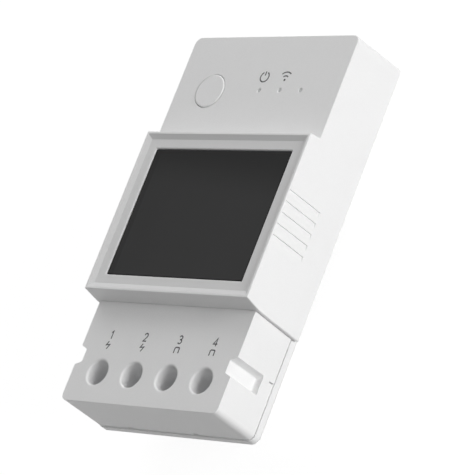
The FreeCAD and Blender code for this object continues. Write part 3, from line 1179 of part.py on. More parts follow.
doc.recompute()
for item in doc.Objects:
    if "Invalid" in item.State or "Error" in item.State:
        raise ValueError(f"{item.Label} did not build: {item.State}")
for piece in pieces:
    if piece.Shape.isNull() or not piece.Shape.isValid():
        raise ValueError(f"{piece.Label} has no valid solid")

os.makedirs("parts", exist_ok=True)
for piece in pieces:
    piece.Shape.exportStep(f"parts/{piece.Label}.step")
    print(piece.Label, len(piece.Shape.Solids), round(piece.Shape.Volume, 2))
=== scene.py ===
import json
import logging
import math
from dataclasses import dataclass, field
from enum import Enum, IntEnum
from functools import cache
from typing import Iterable, Optional, Sequence, Union

import bmesh
import bpy
from mathutils import Matrix, Vector


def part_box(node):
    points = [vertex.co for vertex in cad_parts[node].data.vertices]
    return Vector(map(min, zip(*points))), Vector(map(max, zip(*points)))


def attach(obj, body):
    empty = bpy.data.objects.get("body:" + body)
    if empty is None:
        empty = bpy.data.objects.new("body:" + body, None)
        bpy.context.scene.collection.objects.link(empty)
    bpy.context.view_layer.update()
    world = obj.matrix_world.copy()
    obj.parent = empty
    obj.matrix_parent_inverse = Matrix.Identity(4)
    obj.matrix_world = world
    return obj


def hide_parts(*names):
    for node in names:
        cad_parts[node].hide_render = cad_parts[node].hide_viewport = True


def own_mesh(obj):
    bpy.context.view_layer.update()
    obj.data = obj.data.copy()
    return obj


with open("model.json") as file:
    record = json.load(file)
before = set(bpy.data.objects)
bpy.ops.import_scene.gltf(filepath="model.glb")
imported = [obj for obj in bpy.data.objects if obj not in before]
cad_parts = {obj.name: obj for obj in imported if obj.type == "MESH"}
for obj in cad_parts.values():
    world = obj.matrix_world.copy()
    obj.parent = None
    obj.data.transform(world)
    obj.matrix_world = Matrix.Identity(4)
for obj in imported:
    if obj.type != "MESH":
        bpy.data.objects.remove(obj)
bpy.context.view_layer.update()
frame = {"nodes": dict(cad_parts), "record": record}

MM = 0.001
CASE = "case"
SLOTS = {part["node"]: part["material_slot"] for part in frame["record"]["subparts"]}
LOG = logging.getLogger("rail_switch")

Colour = tuple[float, float, float]
Place = tuple[float, float, float]
Point = tuple[float, float]
Span = tuple[float, float]
Number = Union[float, "Wire"]


class Axis(IntEnum):
    """The axis that a component's stripe is printed across."""

    Y = 1
    Z = 2


class Slot(str, Enum):
    """Two of the record's material slots."""

    SHELL = "shell_plastic"
    SPRING = "spring_steel"


@dataclass(frozen=True)
class Noise:
    """Soft blotches over a surface.

    The size is how far apart they lie, in millimetres. The detail is how many finer layers lie
    over them, the seed sets two layers apart, and the stretch lengthens them along each axis.
    """

    size: float
    detail: float = 3.0
    seed: float = 0.0
    stretch: Place = (1.0, 1.0, 1.0)


class Wire:
    """A value on its way through a finish. Plain arithmetic adds the nodes that work it out."""

    def __init__(self, graph: "Graph", socket: bpy.types.NodeSocket) -> None:
        """Keeps the graph and the socket that the value comes from."""
        self.graph = graph
        self.socket = socket

    def _math(self, operation: str, *values: Number) -> "Wire":
        """Adds one Math node.

        Args:
            operation: The node's operation.
            values: Its inputs in order, as numbers or wires.

        Returns:
            The result.
        """
        return self.graph.node("ShaderNodeMath", {"operation": operation}, dict(enumerate(values)))

    def __add__(self, other: Number) -> "Wire":
        """Sum."""
        return self._math("ADD", self, other)

    def __sub__(self, other: Number) -> "Wire":
        """Difference."""
        return self._math("SUBTRACT", self, other)

    def __rsub__(self, other: Number) -> "Wire":
        """Difference, with the wire taken away."""
        return self._math("SUBTRACT", other, self)

    def __mul__(self, other: Number) -> "Wire":
        """Product."""
        return self._math("MULTIPLY", self, other)

    def __truediv__(self, other: Number) -> "Wire":
        """Quotient."""
        return self._math("DIVIDE", self, other)

    def __rtruediv__(self, other: Number) -> "Wire":
        """Quotient, with the wire as the divisor."""
        return self._math("DIVIDE", other, self)

    def __mod__(self, other: Number) -> "Wire":
        """Remainder, which repeats a pattern."""
        return self._math("FLOORED_MODULO", self, other)

    def __rmod__(self, other: Number) -> "Wire":
        """Remainder, with the wire as the divisor."""
        return self._math("FLOORED_MODULO", other, self)

    def __abs__(self) -> "Wire":
        """Size without sign."""
        return self._math("ABSOLUTE", self)

    def __gt__(self, other: Number) -> "Wire":
        """1 where the value is above the other, and 0 elsewhere."""
        return self._math("GREATER_THAN", self, other)

    def __lt__(self, other: Number) -> "Wire":
        """1 where the value is below the other, and 0 elsewhere."""
        return self._math("LESS_THAN", self, other)

    __radd__ = __add__
    __rmul__ = __mul__

    def between(self, low: float, high: float) -> "Wire":
        """The value's way from low to high, as a soft step held within 0 and 1."""
        return self.graph.node("ShaderNodeMapRange", {"interpolation_type": "SMOOTHSTEP"},
                               {"Value": self, "From Min": low, "From Max": high})


class Graph:
    """The nodes of one finish, or of the surroundings."""

    def __init__(self, owner: Union[str, bpy.types.World]) -> None:
        """Starts a material with one surface shader, or takes the surroundings' own shader.

        Args:
            owner: The new material's name, or the surroundings.
        """
        if isinstance(owner, str):
            owner = bpy.data.materials.new(owner)
            owner.use_nodes = True
        self.owner = owner
        self.tree = owner.node_tree
        self.shader = next(node for node in self.tree.nodes
                           if node.type in ("BSDF_PRINCIPLED", "BACKGROUND"))

    def node(self, kind: str, settings: Optional[dict] = None, inputs: Optional[dict] = None,
             output: Union[int, str] = 0) -> Wire:
        """Adds one node.

        Args:
            kind: The node's type.
            settings: Its own settings, set first.
            inputs: A number, colour or wire for each input, by name or place.
            output: The output wanted, by name or place.

        Returns:
            That output.
        """
        made = self.tree.nodes.new(kind)
        for key, value in (settings or {}).items():
            setattr(made, key, value)
        for key, value in (inputs or {}).items():
            self._feed(made.inputs[key], value)
        return Wire(self, made.outputs[output])

    def _feed(self, socket: bpy.types.NodeSocket, value: object) -> None:
        """Sets or links one input.

        Args:
            socket: The input.
            value: Its number or colour, or the wire that leads to it.
        """
        if isinstance(value, Wire):
            self.tree.links.new(value.socket, socket)
        else:
            socket.default_value = value

    def space(self) -> Wire:
        """The place on the object, in metres of the shared frame."""
        return self.node("ShaderNodeTexCoord", output="Object")

    def axes(self) -> tuple[Wire, Wire, Wire]:
        """The place on the object, in millimetres.

        Returns:
            X, Y and Z.
        """
        split = self.node("ShaderNodeSeparateXYZ", {}, {0: self.space()}).socket.node
        x, y, z = (Wire(self, socket) / MM for socket in split.outputs)
        return x, y, z

    def speckle(self, noise: Noise) -> Wire:
        """Lays noise over the object.

        Args:
            noise: The noise.

        Returns:
            Its value, from 0 to 1.
        """
        scale = [1 / (noise.size * MM * longer) for longer in noise.stretch]
        moved = self.node("ShaderNodeMapping", {}, {
            "Vector": self.space(), "Location": (noise.seed,) * 3, "Scale": scale})
        return self.node("ShaderNodeTexNoise", {}, {
            "Vector": moved, "Scale": 1.0, "Detail": noise.detail})

    def blend(self, share: Number, low: Union[Colour, Wire], high: Union[Colour, Wire]) -> Wire:
        """A colour between two others.

        Args:
            share: How far toward the second, from 0 to 1.
            low: The first colour.
            high: The second colour.

        Returns:
            The colour.
        """
        factor, first, second, result = 0, 6, 7, 2
        inputs = {factor: share}
        for place, colour in ((first, low), (second, high)):
            inputs[place] = colour if isinstance(colour, Wire) else (*colour, 1)
        return self.node("ShaderNodeMix", {"data_type": "RGBA"}, inputs, result)

    def mottle(self, share: Number, colour: Colour, low: float, high: float) -> Wire:
        """A colour that wavers between two shades of itself.

        Args:
            share: How far toward the second shade, from 0 to 1.
            colour: The colour.
            low: The first shade's factor.
            high: The second shade's factor.

        Returns:
            The colour.
        """
        return self.blend(share, shade(colour, low), shade(colour, high))

    def surface(self, relief: Optional[Wire] = None, depth: float = 0.0,
                **values: object) -> bpy.types.Material:
        """Feeds the surface shader and closes the finish.

        Args:
            relief: Height pattern from 0 to 1 that roughens the surface.
            depth: How deep that pattern is, in millimetres.
            values: A number or wire for each shader input, with underscores for spaces.

        Returns:
            The material.
        """
        for key, value in values.items():
            self._feed(self.shader.inputs[key.replace("_", " ")], value)
        if relief is not None:
            bump = self.node("ShaderNodeBump", {}, {
                "Height": relief, "Distance": depth * MM, "Strength": 1.0})
            self._feed(self.shader.inputs["Normal"], bump)
        return self.owner


def seen_rays(graph: Graph) -> Wire:
    """1 for what the camera sees, straight or by way of gloss or glass, and 0 for other light.

    Args:
        graph: The graph of the floor or of the surroundings.

    Returns:
        The share.
    """
    camera, gloss, glass = (graph.node("ShaderNodeLightPath", output=f"Is {kind} Ray")
                            for kind in ("Camera", "Glossy", "Transmission"))
    return (camera + gloss + glass) > 0.5


def shade(colour: Colour, factor: float) -> Colour:
    """A colour made lighter or darker by a factor."""
    return tuple(min(1.0, part * factor) for part in colour)


@dataclass(frozen=True)
class RecessShade:
    """The flat between rim and screen, where painted shade makes the shell's plastic a little
    darker.

    It is told from the rest by the two heights that it lies between and by the rim's inner
    edges, in millimetres.
    """

    low: float = 30.2
    high: float = 30.985
    half_width: float = 26.42
    half_length: float = 20.65
    middle_y: float = -0.65
    # How far the painted shade darkens the recess's colour.
    tone: float = 0.85

    def share(self, graph: Graph) -> Wire:
        """Picks out the recess.

        Args:
            graph: The graph of the shell's finish.

        Returns:
            1 inside the recess, and 0 elsewhere.
        """
        x, y, z = graph.axes()
        level = (z > self.low) * (z < self.high)
        return level * (abs(x) < self.half_width) * (abs(y - self.middle_y) < self.half_length)


@dataclass(frozen=True)
class Moulded:
    """Moulded plastic with a spark-eroded grain and the slight cloudiness of a thick wall."""

    name: str
    colour: Colour
    roughness: float = 0.5
    grain: float = 0.22
    depth: float = 0.006
    # Where given, painted shade darkens the recess in the colour.
    recess: Optional[RecessShade] = None
    cloud: float = 0.03
    cloud_noise: Noise = Noise(9.0, 4.0)
    grain_detail: float = 2.0
    grain_seed: float = 5.0
    grain_step: Span = (0.3, 0.75)
    uneven: float = 0.1
    uneven_noise: Noise = Noise(1.6, seed=9.0)

    def make(self) -> bpy.types.Material:
        """Builds the material.

        Returns:
            The material.
        """
        graph = Graph(self.name)
        deep, pale = 1 - self.cloud, 1 + self.cloud
        cloud = graph.speckle(self.cloud_noise)
        grain = graph.speckle(Noise(self.grain, self.grain_detail, self.grain_seed))
        colour = graph.blend(grain.between(*self.grain_step),
                             graph.mottle(cloud, self.colour, deep, pale),
                             shade(self.colour, pale))
        # Painted shade: the recess is darkened in the colour itself.
        if self.recess:
            inner = graph.mottle(cloud, shade(self.colour, self.recess.tone), deep, pale)
            colour = graph.blend(self.recess.share(graph), colour, inner)
        rough = self.roughness - self.uneven / 2 + self.uneven * graph.speckle(self.uneven_noise)
        return graph.surface(grain, self.depth, Base_Color=colour, Roughness=rough)


@dataclass(frozen=True)
class PaintedWindowShade:
    """Painted shade on a window: a painted shadow toward its top and a painted reflection of the
    frame along its left edge.

    Each stretch is where that starts and where it is complete, in millimetres. The lean is how
    far the upper stretch drops for each millimetre to the right.
    """

    rise: Span = (4.0, 17.5)
    lean: float = 0.12
    edge: Span = (-20.1, -20.7)
    edge_share: float = 0.35
    # How dark the painted shadow and painted reflection make the window's colour.
    tone: float = 0.35


@dataclass(frozen=True)
class SmokedAcrylic:
    """Dark plastic with a hard polished face, a faint haze and fine wiping marks."""

    name: str
    colour: Colour
    roughness: float = 0.12
    gloss: float = 0.22
    painted_shade: Optional[PaintedWindowShade] = None
    haze_noise: Noise = Noise(14.0)
    haze_shades: Span = (0.92, 1.08)
    haze_rough: float = 0.05
    wipe_noise: Noise = Noise(0.5, 2.0, 3.0, (1.0, 14.0, 1.0))
    wipe_rough: float = 0.04
    wipe_depth: float = 0.0006

    def make(self) -> bpy.types.Material:
        """Builds the material.

        Returns:
            The material.
        """
        graph = Graph(self.name)
        haze = graph.speckle(self.haze_noise)
        wipes = graph.speckle(self.wipe_noise)
        colour = graph.mottle(haze, self.colour, *self.haze_shades)
        # Painted shadow toward the top and painted reflection along the left edge, both darkening
        # the colour.
        if self.painted_shade:
            fade, (x, y, _) = self.painted_shade, graph.axes()
            dark = shade(self.colour, fade.tone)
            colour = graph.blend((y + fade.lean * x).between(*fade.rise), colour, dark)
            colour = graph.blend(x.between(*fade.edge) * fade.edge_share, colour, dark)
        rough = self.roughness + self.haze_rough * haze + self.wipe_rough * wipes
        return graph.surface(wipes, self.wipe_depth, Base_Color=colour, Roughness=rough,
                             Specular_IOR_Level=self.gloss)


ALONG_X = (8.0, 1.0, 1.0)
ALONG_Y = (1.0, 8.0, 1.0)


@dataclass(frozen=True)
class Plated:
    """Plated or rolled metal with drawing lines and a slightly uneven brightness."""

    name: str
    colour: Colour
    roughness: float = 0.32
    drawn: Place = ALONG_X
    line_size: float = 0.18
    line_rough: float = 0.14
    line_depth: float = 0.003
    spot_noise: Noise = Noise(1.8, 4.0, 2.0)
    spot_shades: Span = (0.86, 1.06)
    spot_rough: float = 0.06
    polish: float = 0.08

    def make(self) -> bpy.types.Material:
        """Builds the material.

        Returns:
            The material.
        """
        graph = Graph(self.name)
        lines = graph.speckle(Noise(self.line_size, stretch=self.drawn))
        spots = graph.speckle(self.spot_noise)
        colour = graph.mottle(spots, self.colour, *self.spot_shades)
        rough = self.roughness - self.polish + self.line_rough * lines + self.spot_rough * spots
        return graph.surface(lines, self.line_depth, Base_Color=colour, Roughness=rough,
                             Metallic=1.0)


@dataclass(frozen=True)
class Laminate:
    """Circuit board: solder mask over copper tracks, with tinned pads in a grid."""

    name: str
    mask: Colour
    copper: Colour
    pitch: float = 2.54
    wander: float = 2.0
    wander_noise: Noise = Noise(11.0, 1.0)
    field_noise: Noise = Noise(7.0, 0.0, 4.0)
    field_edge: float = 0.5
    track_half: float = 0.13
    track_shade: float = 2.1
    track_depth: float = 0.035
    pad_noise: Noise = Noise(5.0, 0.0, 8.0)
    pad_edge: float = 0.56
    pad_reach: float = 0.03
    pad_metal: float = 0.9
    pad_polish: float = 0.12
    roughness: float = 0.38
    uneven: float = 0.08
    uneven_noise: Noise = Noise(0.8, 2.0, 6.0)

    @staticmethod
    def _lane(value: Wire) -> Wire:
        """How far a place is from the middle of its grid cell, as a share of the pitch."""
        return abs(value % 1.0 - 0.5)

    def make(self) -> bpy.types.Material:
        """Builds the material.

        Returns:
            The material.
        """
        graph = Graph(self.name)
        x, y, _ = graph.axes()
        across, along = x / self.pitch, y / self.pitch
        bend = self.wander * graph.speckle(self.wander_noise)
        pick = graph.speckle(self.field_noise) > self.field_edge
        track = (pick * (self._lane(across + bend) < self.track_half)
                 + (1 - pick) * (self._lane(along + bend) < self.track_half))
        near_x, near_y = self._lane(across), self._lane(along)
        pad = (((near_x * near_x + near_y * near_y) < self.pad_reach)
               * (graph.speckle(self.pad_noise) > self.pad_edge))
        colour = graph.blend(pad, graph.mottle(track, self.mask, 1.0, self.track_shade),
                             self.copper)
        rough = (self.roughness - self.pad_polish * pad
                 + self.uneven * graph.speckle(self.uneven_noise))
        return graph.surface(track, self.track_depth, Base_Color=colour, Roughness=rough,
                             Metallic=pad * self.pad_metal)


@dataclass(frozen=True)
class Sleeved:
    """A bought-in component: coloured skin with a worn stripe printed round it."""

    name: str
    colour: Colour
    stripe: Colour
    band: Span
    axis: Axis = Axis.Z
    roughness: float = 0.35
    wear_noise: Noise = Noise(0.35, 2.0, 1.0)
    wear_step: Span = (0.3, 0.42)
    skin_noise: Noise = Noise(2.5)
    skin_shades: Span = (0.85, 1.15)
    uneven: float = 0.1
    uneven_noise: Noise = Noise(0.6, 2.0, 7.0)
    grain_noise: Noise = Noise(0.3, 2.0, 3.0)
    grain_depth: float = 0.008

    def make(self) -> bpy.types.Material:
        """Builds the material.

        Returns:
            The material.
        """
        graph = Graph(self.name)
        place = graph.axes()[self.axis]
        low, high = self.band
        worn = ((place > low) * (place < high)
                * graph.speckle(self.wear_noise).between(*self.wear_step))
        skin = graph.mottle(graph.speckle(self.skin_noise), self.colour, *self.skin_shades)
        rough = self.roughness + self.uneven * graph.speckle(self.uneven_noise)
        return graph.surface(graph.speckle(self.grain_noise), self.grain_depth,
                             Base_Color=graph.blend(worn, skin, self.stripe), Roughness=rough)


@dataclass(frozen=True)
class ClearPlastic:
    """Clear moulded plastic, slightly milky inside."""

    name: str
    colour: Colour
    alpha: float
    roughness: float = 0.15
    milk_noise: Noise = Noise(1.5)
    milk_shades: Span = (0.9, 1.0)
    milk_depth: float = 0.004
    milk: float = 0.1
    uneven: float = 0.05
    uneven_noise: Noise = Noise(0.4, 2.0, 2.0)

    def make(self) -> bpy.types.Material:
        """Builds the material.

        Returns:
            The material.
        """
        graph = Graph(self.name)
        milk = graph.speckle(self.milk_noise)
        colour = graph.mottle(milk, self.colour, *self.milk_shades)
        clear = self.alpha - self.milk / 2 + self.milk * milk
        rough = self.roughness + self.uneven * graph.speckle(self.uneven_noise)
        return graph.surface(milk, self.milk_depth, Base_Color=colour, Roughness=rough,
                             Alpha=clear)


@dataclass(frozen=True)
class Ink:
    """Pad-printed ink, a little thin where the pad left less of it."""

    name: str
    colour: Colour
    thin_noise: Noise = Noise(0.3)
    thin_step: Span = (0.35, 0.8)
    thin_shade: float = 1.8
    thin_depth: float = 0.002
    roughness: float = 0.55
    uneven: float = 0.15
    uneven_noise: Noise = Noise(0.12, 2.0, 3.0)

    def make(self) -> bpy.types.Material:
        """Builds the material.

        Returns:
            The material.
        """
        graph = Graph(self.name)
        thin = graph.speckle(self.thin_noise)
        colour = graph.mottle(thin.between(*self.thin_step), self.colour, 1.0, self.thin_shade)
        rough = self.roughness + self.uneven * graph.speckle(self.uneven_noise)
        return graph.surface(thin, self.thin_depth, Base_Color=colour, Roughness=rough)


SHELL = (0.88, 0.88, 0.88)
FINISHES = {finish.name: finish for finish in (
    # The shell's recess gets painted shade in its colour.
    Moulded("shell_plastic", SHELL, recess=RecessShade()),
    Moulded("base_plastic", SHELL, roughness=0.55, grain=0.28, depth=0.008),
    Moulded("black_foam", (0.03, 0.03, 0.03), roughness=0.85, grain=0.35, depth=0.08),
    Moulded("white_plastic", (0.82, 0.82, 0.80), roughness=0.35),
    Moulded("black_plastic", (0.022, 0.022, 0.023), roughness=0.4, grain=0.2),
    # The window's colour carries a painted shadow and a painted reflection.
    SmokedAcrylic("smoked_window", (0.033, 0.033, 0.0335), gloss=0.07, painted_shade=PaintedWindowShade()),
    SmokedAcrylic("display_glass", (0.05, 0.055, 0.055), roughness=0.08),
    ClearPlastic("clear_plastic", (0.74, 0.75, 0.75), alpha=0.9),
    Laminate("board_laminate", mask=(0.012, 0.12, 0.04), copper=(0.75, 0.72, 0.62)),
    Plated("spring_steel", (0.58, 0.58, 0.59), roughness=0.28),
    Plated("zinc_steel", (0.62, 0.63, 0.65), roughness=0.34),
    Plated("manganin", (0.66, 0.42, 0.27), roughness=0.3, drawn=ALONG_Y),
    Plated("tinned_can", (0.66, 0.67, 0.68), roughness=0.25),
    Plated("tinned_brass", (0.72, 0.70, 0.62), roughness=0.24, drawn=ALONG_Y),
    Sleeved("lamp_body", (0.80, 0.78, 0.62), stripe=(0.9, 0.75, 0.2), band=(23.15, 23.3)),
    Sleeved("relay_plastic", (0.015, 0.05, 0.16), stripe=(0.75, 0.75, 0.72), band=(22.6, 22.9)),
    Sleeved("transformer_tape", (0.66, 0.47, 0.07), stripe=(0.06, 0.055, 0.05), band=(8.0, 9.9)),
    Sleeved("capacitor_sleeve", (0.012, 0.012, 0.035), stripe=(0.6, 0.6, 0.58),
            band=(12.0, 12.8)),
    Sleeved("film_plastic", (0.70, 0.52, 0.08), stripe=(0.08, 0.07, 0.06), band=(15.6, 16.1)),
    Sleeved("varistor_coat", (0.02, 0.11, 0.36), stripe=(0.55, 0.6, 0.65), band=(13.6, 14.0)),
    Sleeved("fuse_ceramic", (0.78, 0.75, 0.68), stripe=(0.55, 0.53, 0.5), band=(-17.65, -15.95),
            axis=Axis.Y),
    Ink("mark_ink", (0.055, 0.055, 0.058)),
)}


@cache
def finish(name: str) -> bpy.types.Material:
    """The material of a finish, made once."""
    return FINISHES[name].make()


def dress(node: str) -> None:
    """Gives a carried node the finish that the record names for it.

    Args:
        node: The node's name.
    """
    piece = frame["nodes"][node]
    piece.data.materials.clear()
    piece.data.materials.append(finish(SLOTS[node]))
    LOG.info("dressed %s in %s", node, SLOTS[node])


def place_object(name: str, data: bpy.types.ID) -> bpy.types.Object:
    """Puts a new object into the scene.

    Args:
        name: The object's name.
        data: Its mesh, lamp or camera.

    Returns:
        The object.
    """
    made = bpy.data.objects.new(name, data)
    bpy.context.scene.collection.objects.link(made)
    return made


def skin(sheet: bmesh.types.BMesh, rings: Sequence[Sequence[bmesh.types.BMVert]],
         smooth: bool = False) -> None:
    """Closes a row of rings into a body with a cap at each end.

    Args:
        sheet: The mesh that is being built.
        rings: The rings, each with as many corners as the others.
        smooth: Whether the body is round, rather than flat between its corners.
    """
    for first, second in zip(rings, rings[1:]):
        for side in range(len(first)):
            after = (side + 1) % len(first)
            face = sheet.faces.new((first[side], first[after], second[after], second[side]))
            face.smooth = smooth
    sheet.faces.new(rings[0][::-1])
    sheet.faces.new(rings[-1])
    bmesh.ops.recalc_face_normals(sheet, faces=sheet.faces)


def take_mesh(sheet: bmesh.types.BMesh, name: str) -> bpy.types.Mesh:
    """Turns what was built into a mesh.

    Args:
        sheet: What was built, which is let go.
        name: The mesh's name.

    Returns:
        The mesh.
    """
    mesh = bpy.data.meshes.new(name)
    sheet.to_mesh(mesh)
    sheet.free()
    return mesh


def add_piece(sheet: bmesh.types.BMesh, name: str, material: str) -> bpy.types.Object:
    """Adds a new piece that rides on the case.

    Args:
        sheet: What was built of it, in place.
        name: The piece's name.
        material: Its finish.

    Returns:
        The piece.
    """
    piece = place_object(name, take_mesh(sheet, name))
    piece.data.materials.append(finish(material))
    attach(piece, CASE)
    LOG.info("made %s on %s", name, CASE)
    return piece


def arc_points(centre: Point, radius: float, start: float, end: float, steps: int) -> list[Point]:
    """Points along an arc, with both of its ends.

    Args:
        centre: The arc's centre.
        radius: Its radius.
        start: Where it starts, in degrees from the right, anticlockwise.
        end: Where it ends.
        steps: How many runs it has.

    Returns:
        The points.
    """
    turns = [math.radians(start + (end - start) * step / steps) for step in range(steps + 1)]
    return [(centre[0] + radius * math.cos(turn), centre[1] + radius * math.sin(turn))
            for turn in turns]


@dataclass
class Printing:
    """Flat marks of ink, drawn in millimetres as strokes of one width.

    The face lies at the height given. The film stands above it and the sink reaches below it.
    """

    height: float
    width: float
    film: float = 0.02
    sink: float = 0.01
    arc_steps: int = 32
    dot_sides: int = 24
    mitre_limit: float = 0.5
    sheet: bmesh.types.BMesh = field(default_factory=bmesh.new)

    def stroke(self, points: Sequence[Point]) -> None:
        """Adds one line of ink with square ends and mitred corners.

        Args:
            points: Its middle line.
        """
        low, top = self.height - self.sink, self.height + self.film
        rings = []
        for before, point, after in zip((None, *points), points, (*points[1:], None)):
            left, right = self._edges(point, before, after)
            section = ((left, low), (left, top), (right, top), (right, low))
            rings.append([self._corner(*corner) for corner in section])
        skin(self.sheet, rings)

    def _corner(self, place: Sequence[float], height: float) -> bmesh.types.BMVert:
        """Adds one corner, which is given in millimetres."""
        return self.sheet.verts.new((place[0] * MM, place[1] * MM, height * MM))

    def _edges(self, point: Point, before: Optional[Point],
               after: Optional[Point]) -> tuple[Vector, Vector]:
        """The left and right edge of a line at one of its points.

        Args:
            point: The point.
            before: The point before it, if any.
            after: The point after it, if any.

        Returns:
            The two edge points.
        """
        ways = [(Vector(end) - Vector(start)).normalized()
                for start, end in ((before, point), (point, after)) if start and end]
        way = sum(ways, Vector((0, 0))).normalized()
        across = Vector((-way.y, way.x))
        square = Vector((-ways[0].y, ways[0].x))
        reach = self.width / 2 / max(self.mitre_limit, across.dot(square))
        return Vector(point) + across * reach, Vector(point) - across * reach

    def arc(self, centre: Point, radius: float, start: float, end: float) -> None:
        """Adds a curved line, from one angle in degrees to another."""
        self.stroke(arc_points(centre, radius, start, end, self.arc_steps))

    def dot(self, centre: Point, radius: float) -> None:
        """Adds a round spot of ink.

        Args:
            centre: Its middle.
            radius: Its radius.
        """
        rim = arc_points(centre, radius, 0, 360, self.dot_sides)[:-1]
        skin(self.sheet, [[self._corner(place, height) for place in rim]
                          for height in (self.height - self.sink, self.height + self.film)])

    def lay(self, name: str) -> None:
        """Adds the marks to the scene as one piece."""
        add_piece(self.sheet, name, "mark_ink")


DIGITS: dict[int, list[list[Point]]] = {
    1: [[(0.28, 0.78), (0.56, 1.0), (0.56, 0.0)]],
    2: [[(0.12, 0.76), (0.18, 0.9), (0.32, 0.99), (0.5, 1.0), (0.66, 0.93), (0.74, 0.8),
         (0.73, 0.64), (0.62, 0.48), (0.1, 0.0), (0.78, 0.0)]],
    3: [[(0.12, 0.86), (0.28, 0.98), (0.5, 1.0), (0.67, 0.91), (0.72, 0.76), (0.65, 0.61),
         (0.48, 0.54), (0.34, 0.53)],
        [(0.34, 0.53), (0.56, 0.5), (0.72, 0.4), (0.77, 0.25), (0.69, 0.1), (0.5, 0.0),
         (0.28, 0.01), (0.1, 0.13)]],
    4: [[(0.6, 0.0), (0.6, 1.0), (0.06, 0.28), (0.84, 0.28)]],
}


@dataclass
class Assembly:
    """A sub-assembly of the switch, with the nodes that it dresses."""

    nodes: tuple[str, ...] = ()

    def build(self) -> None:
        """Dresses the nodes."""
        for node in self.nodes:
            dress(node)


@dataclass
class Shells(Assembly):
    """Front cover, terminal housing and rear base, with the screws that join them."""

    nodes: tuple[str, ...] = ("front_cover", "terminal_housing", "rear_base", "case_screws")


@dataclass
class Screen(Assembly):
    """Smoked window, and the display behind it."""

    nodes: tuple[str, ...] = ("screen_window", "lcd_foam_frame", "lcd_panel", "lcd_holder")


@dataclass
class Controls(Assembly):
    """Round button with its switch, light pipe with its lamps, and two printed signs."""

    nodes: tuple[str, ...] = (
        "button_cap", "tact_switch", "tact_plunger", "light_pipe", "status_leds")
    panel: float = 27.6
    sign_y: float = 37.45
    power_x: float = 1.25
    power_width: float = 0.33
    power_radius: float = 1.33
    power_ends: Span = (118, 422)
    power_bar: Span = (0.4, 1.5)
    waves_x: float = 8.15
    waves_drop: float = 0.85
    waves_width: float = 0.32
    waves_dot: float = 0.3
    waves_radii: tuple[float, ...] = (1.12, 2.15)
    waves_ends: Span = (48, 132)

    def build(self) -> None:
        """Dresses the controls and prints the signs."""
        super().build()
        self._power_sign()
        self._waves_sign()

    def _power_sign(self) -> None:
        """A ring that is open at the top, with a bar in the gap."""
        ink = Printing(self.panel, self.power_width)
        ink.arc((self.power_x, self.sign_y), self.power_radius, *self.power_ends)
        ink.stroke([(self.power_x, self.sign_y + up) for up in self.power_bar])
        ink.lay("power_sign")

    def _waves_sign(self) -> None:
        """Two arcs over a dot, the plain sign for radio."""
        ink = Printing(self.panel, self.waves_width)
        middle = (self.waves_x, self.sign_y - self.waves_drop)
        ink.dot(middle, self.waves_dot)
        for radius in self.waves_radii:
            ink.arc(middle, radius, *self.waves_ends)
        ink.lay("waves_sign")


@dataclass
class Terminals(Assembly):
    """Screw terminals in a row, with their printed numbers and the plain marks below them."""

    parts: tuple[str, ...] = ("terminal_screw", "terminal_cage", "busbar")
    count: int = 4
    face: float = 25.9
    pitch: float = 11.5
    line: float = 0.31
    number_y: float = -32.3
    number_height: float = 2.0
    number_slimness: float = 0.8
    number_middle: float = 0.45
    mark_y: float = -34.0
    flash: tuple[Point, ...] = ((-0.05, 1.0), (-0.6, 0.05), (0.55, 0.2), (-0.1, -0.95))
    arch: tuple[Point, ...] = (
        (-0.72, -0.72), (-0.72, 0.5), (-0.5, 0.72), (0.5, 0.72), (0.72, 0.5), (0.72, -0.72))

    def build(self) -> None:
        """Dresses the terminals and prints their marks."""
        for number in range(1, self.count + 1):
            for part in self.parts:
                dress(f"{part}_{number}")
            self._print(number)

    def _print(self, number: int) -> None:
        """Prints one terminal's number, and below it a zigzag, or an arch in the right half.

        Args:
            number: The terminal's number, from the left.
        """
        x = (number - (self.count + 1) / 2) * self.pitch
        tall, wide = self.number_height, self.number_height * self.number_slimness
        ink = Printing(self.face, self.line)
        for stroke in DIGITS[number]:
            ink.stroke([(x + (across - self.number_middle) * wide, self.number_y + up * tall)
                        for across, up in stroke])
        mark = self.flash if number <= self.count / 2 else self.arch
        ink.stroke([(x + across, self.mark_y + up) for across, up in mark])
        ink.lay(f"terminal_mark_{number}")


@dataclass
class RailMount(Assembly):
    """The rail's clip, and the coil that pushes it home."""

    nodes: tuple[str, ...] = ("rail_clip",)
    spring: str = "rail_clip_spring"
    joint: str = "rail_clip_pull"
    wire: float = 0.2
    turns: float = 8.0
    pressed: float = 5.0
    steps: int = 320
    sides: int = 12

    def build(self) -> None:
        """Dresses the clip, and winds the coil in the place of its solid."""
        super().build()
        low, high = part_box(self.spring)
        coil = add_piece(self._coil(low, high), "clip_coil", "spring_steel")
        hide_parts(self.spring)
        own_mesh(coil)

    def _coil(self, low: Sequence[float], high: Sequence[float]) -> bmesh.types.BMesh:
        """Winds round wire into a coil that fills a box along Y.

        Args:
            low: The box's lowest corner, in metres.
            high: Its highest corner.

        Returns:
            The coil.
        """
        sheet = bmesh.new()
        wire, whole = self.wire * MM, 2 * math.pi
        radius = (high[0] - low[0]) / 2 - wire
        rise = high[1] - low[1] - 2 * wire
        start = Vector(((low[0] + high[0]) / 2, low[1] + wire, (low[2] + high[2]) / 2))
        bends = [whole * side / self.sides for side in range(self.sides)]
        rings = []
        for step in range(self.steps + 1):
            turn = whole * self.turns * step / self.steps
            sine, cosine = math.sin(turn), math.cos(turn)
            outward = Vector((cosine, 0.0, sine))
            along = Vector((-radius * sine, rise / (whole * self.turns), radius * cosine))
            across = along.normalized().cross(outward)
            middle = start + radius * outward + Vector((0.0, rise * step / self.steps, 0.0))
            rings.append([sheet.verts.new(
                middle + wire * (math.cos(bend) * outward + math.sin(bend) * across))
                for bend in bends])
        skin(sheet, rings, smooth=True)
        return sheet


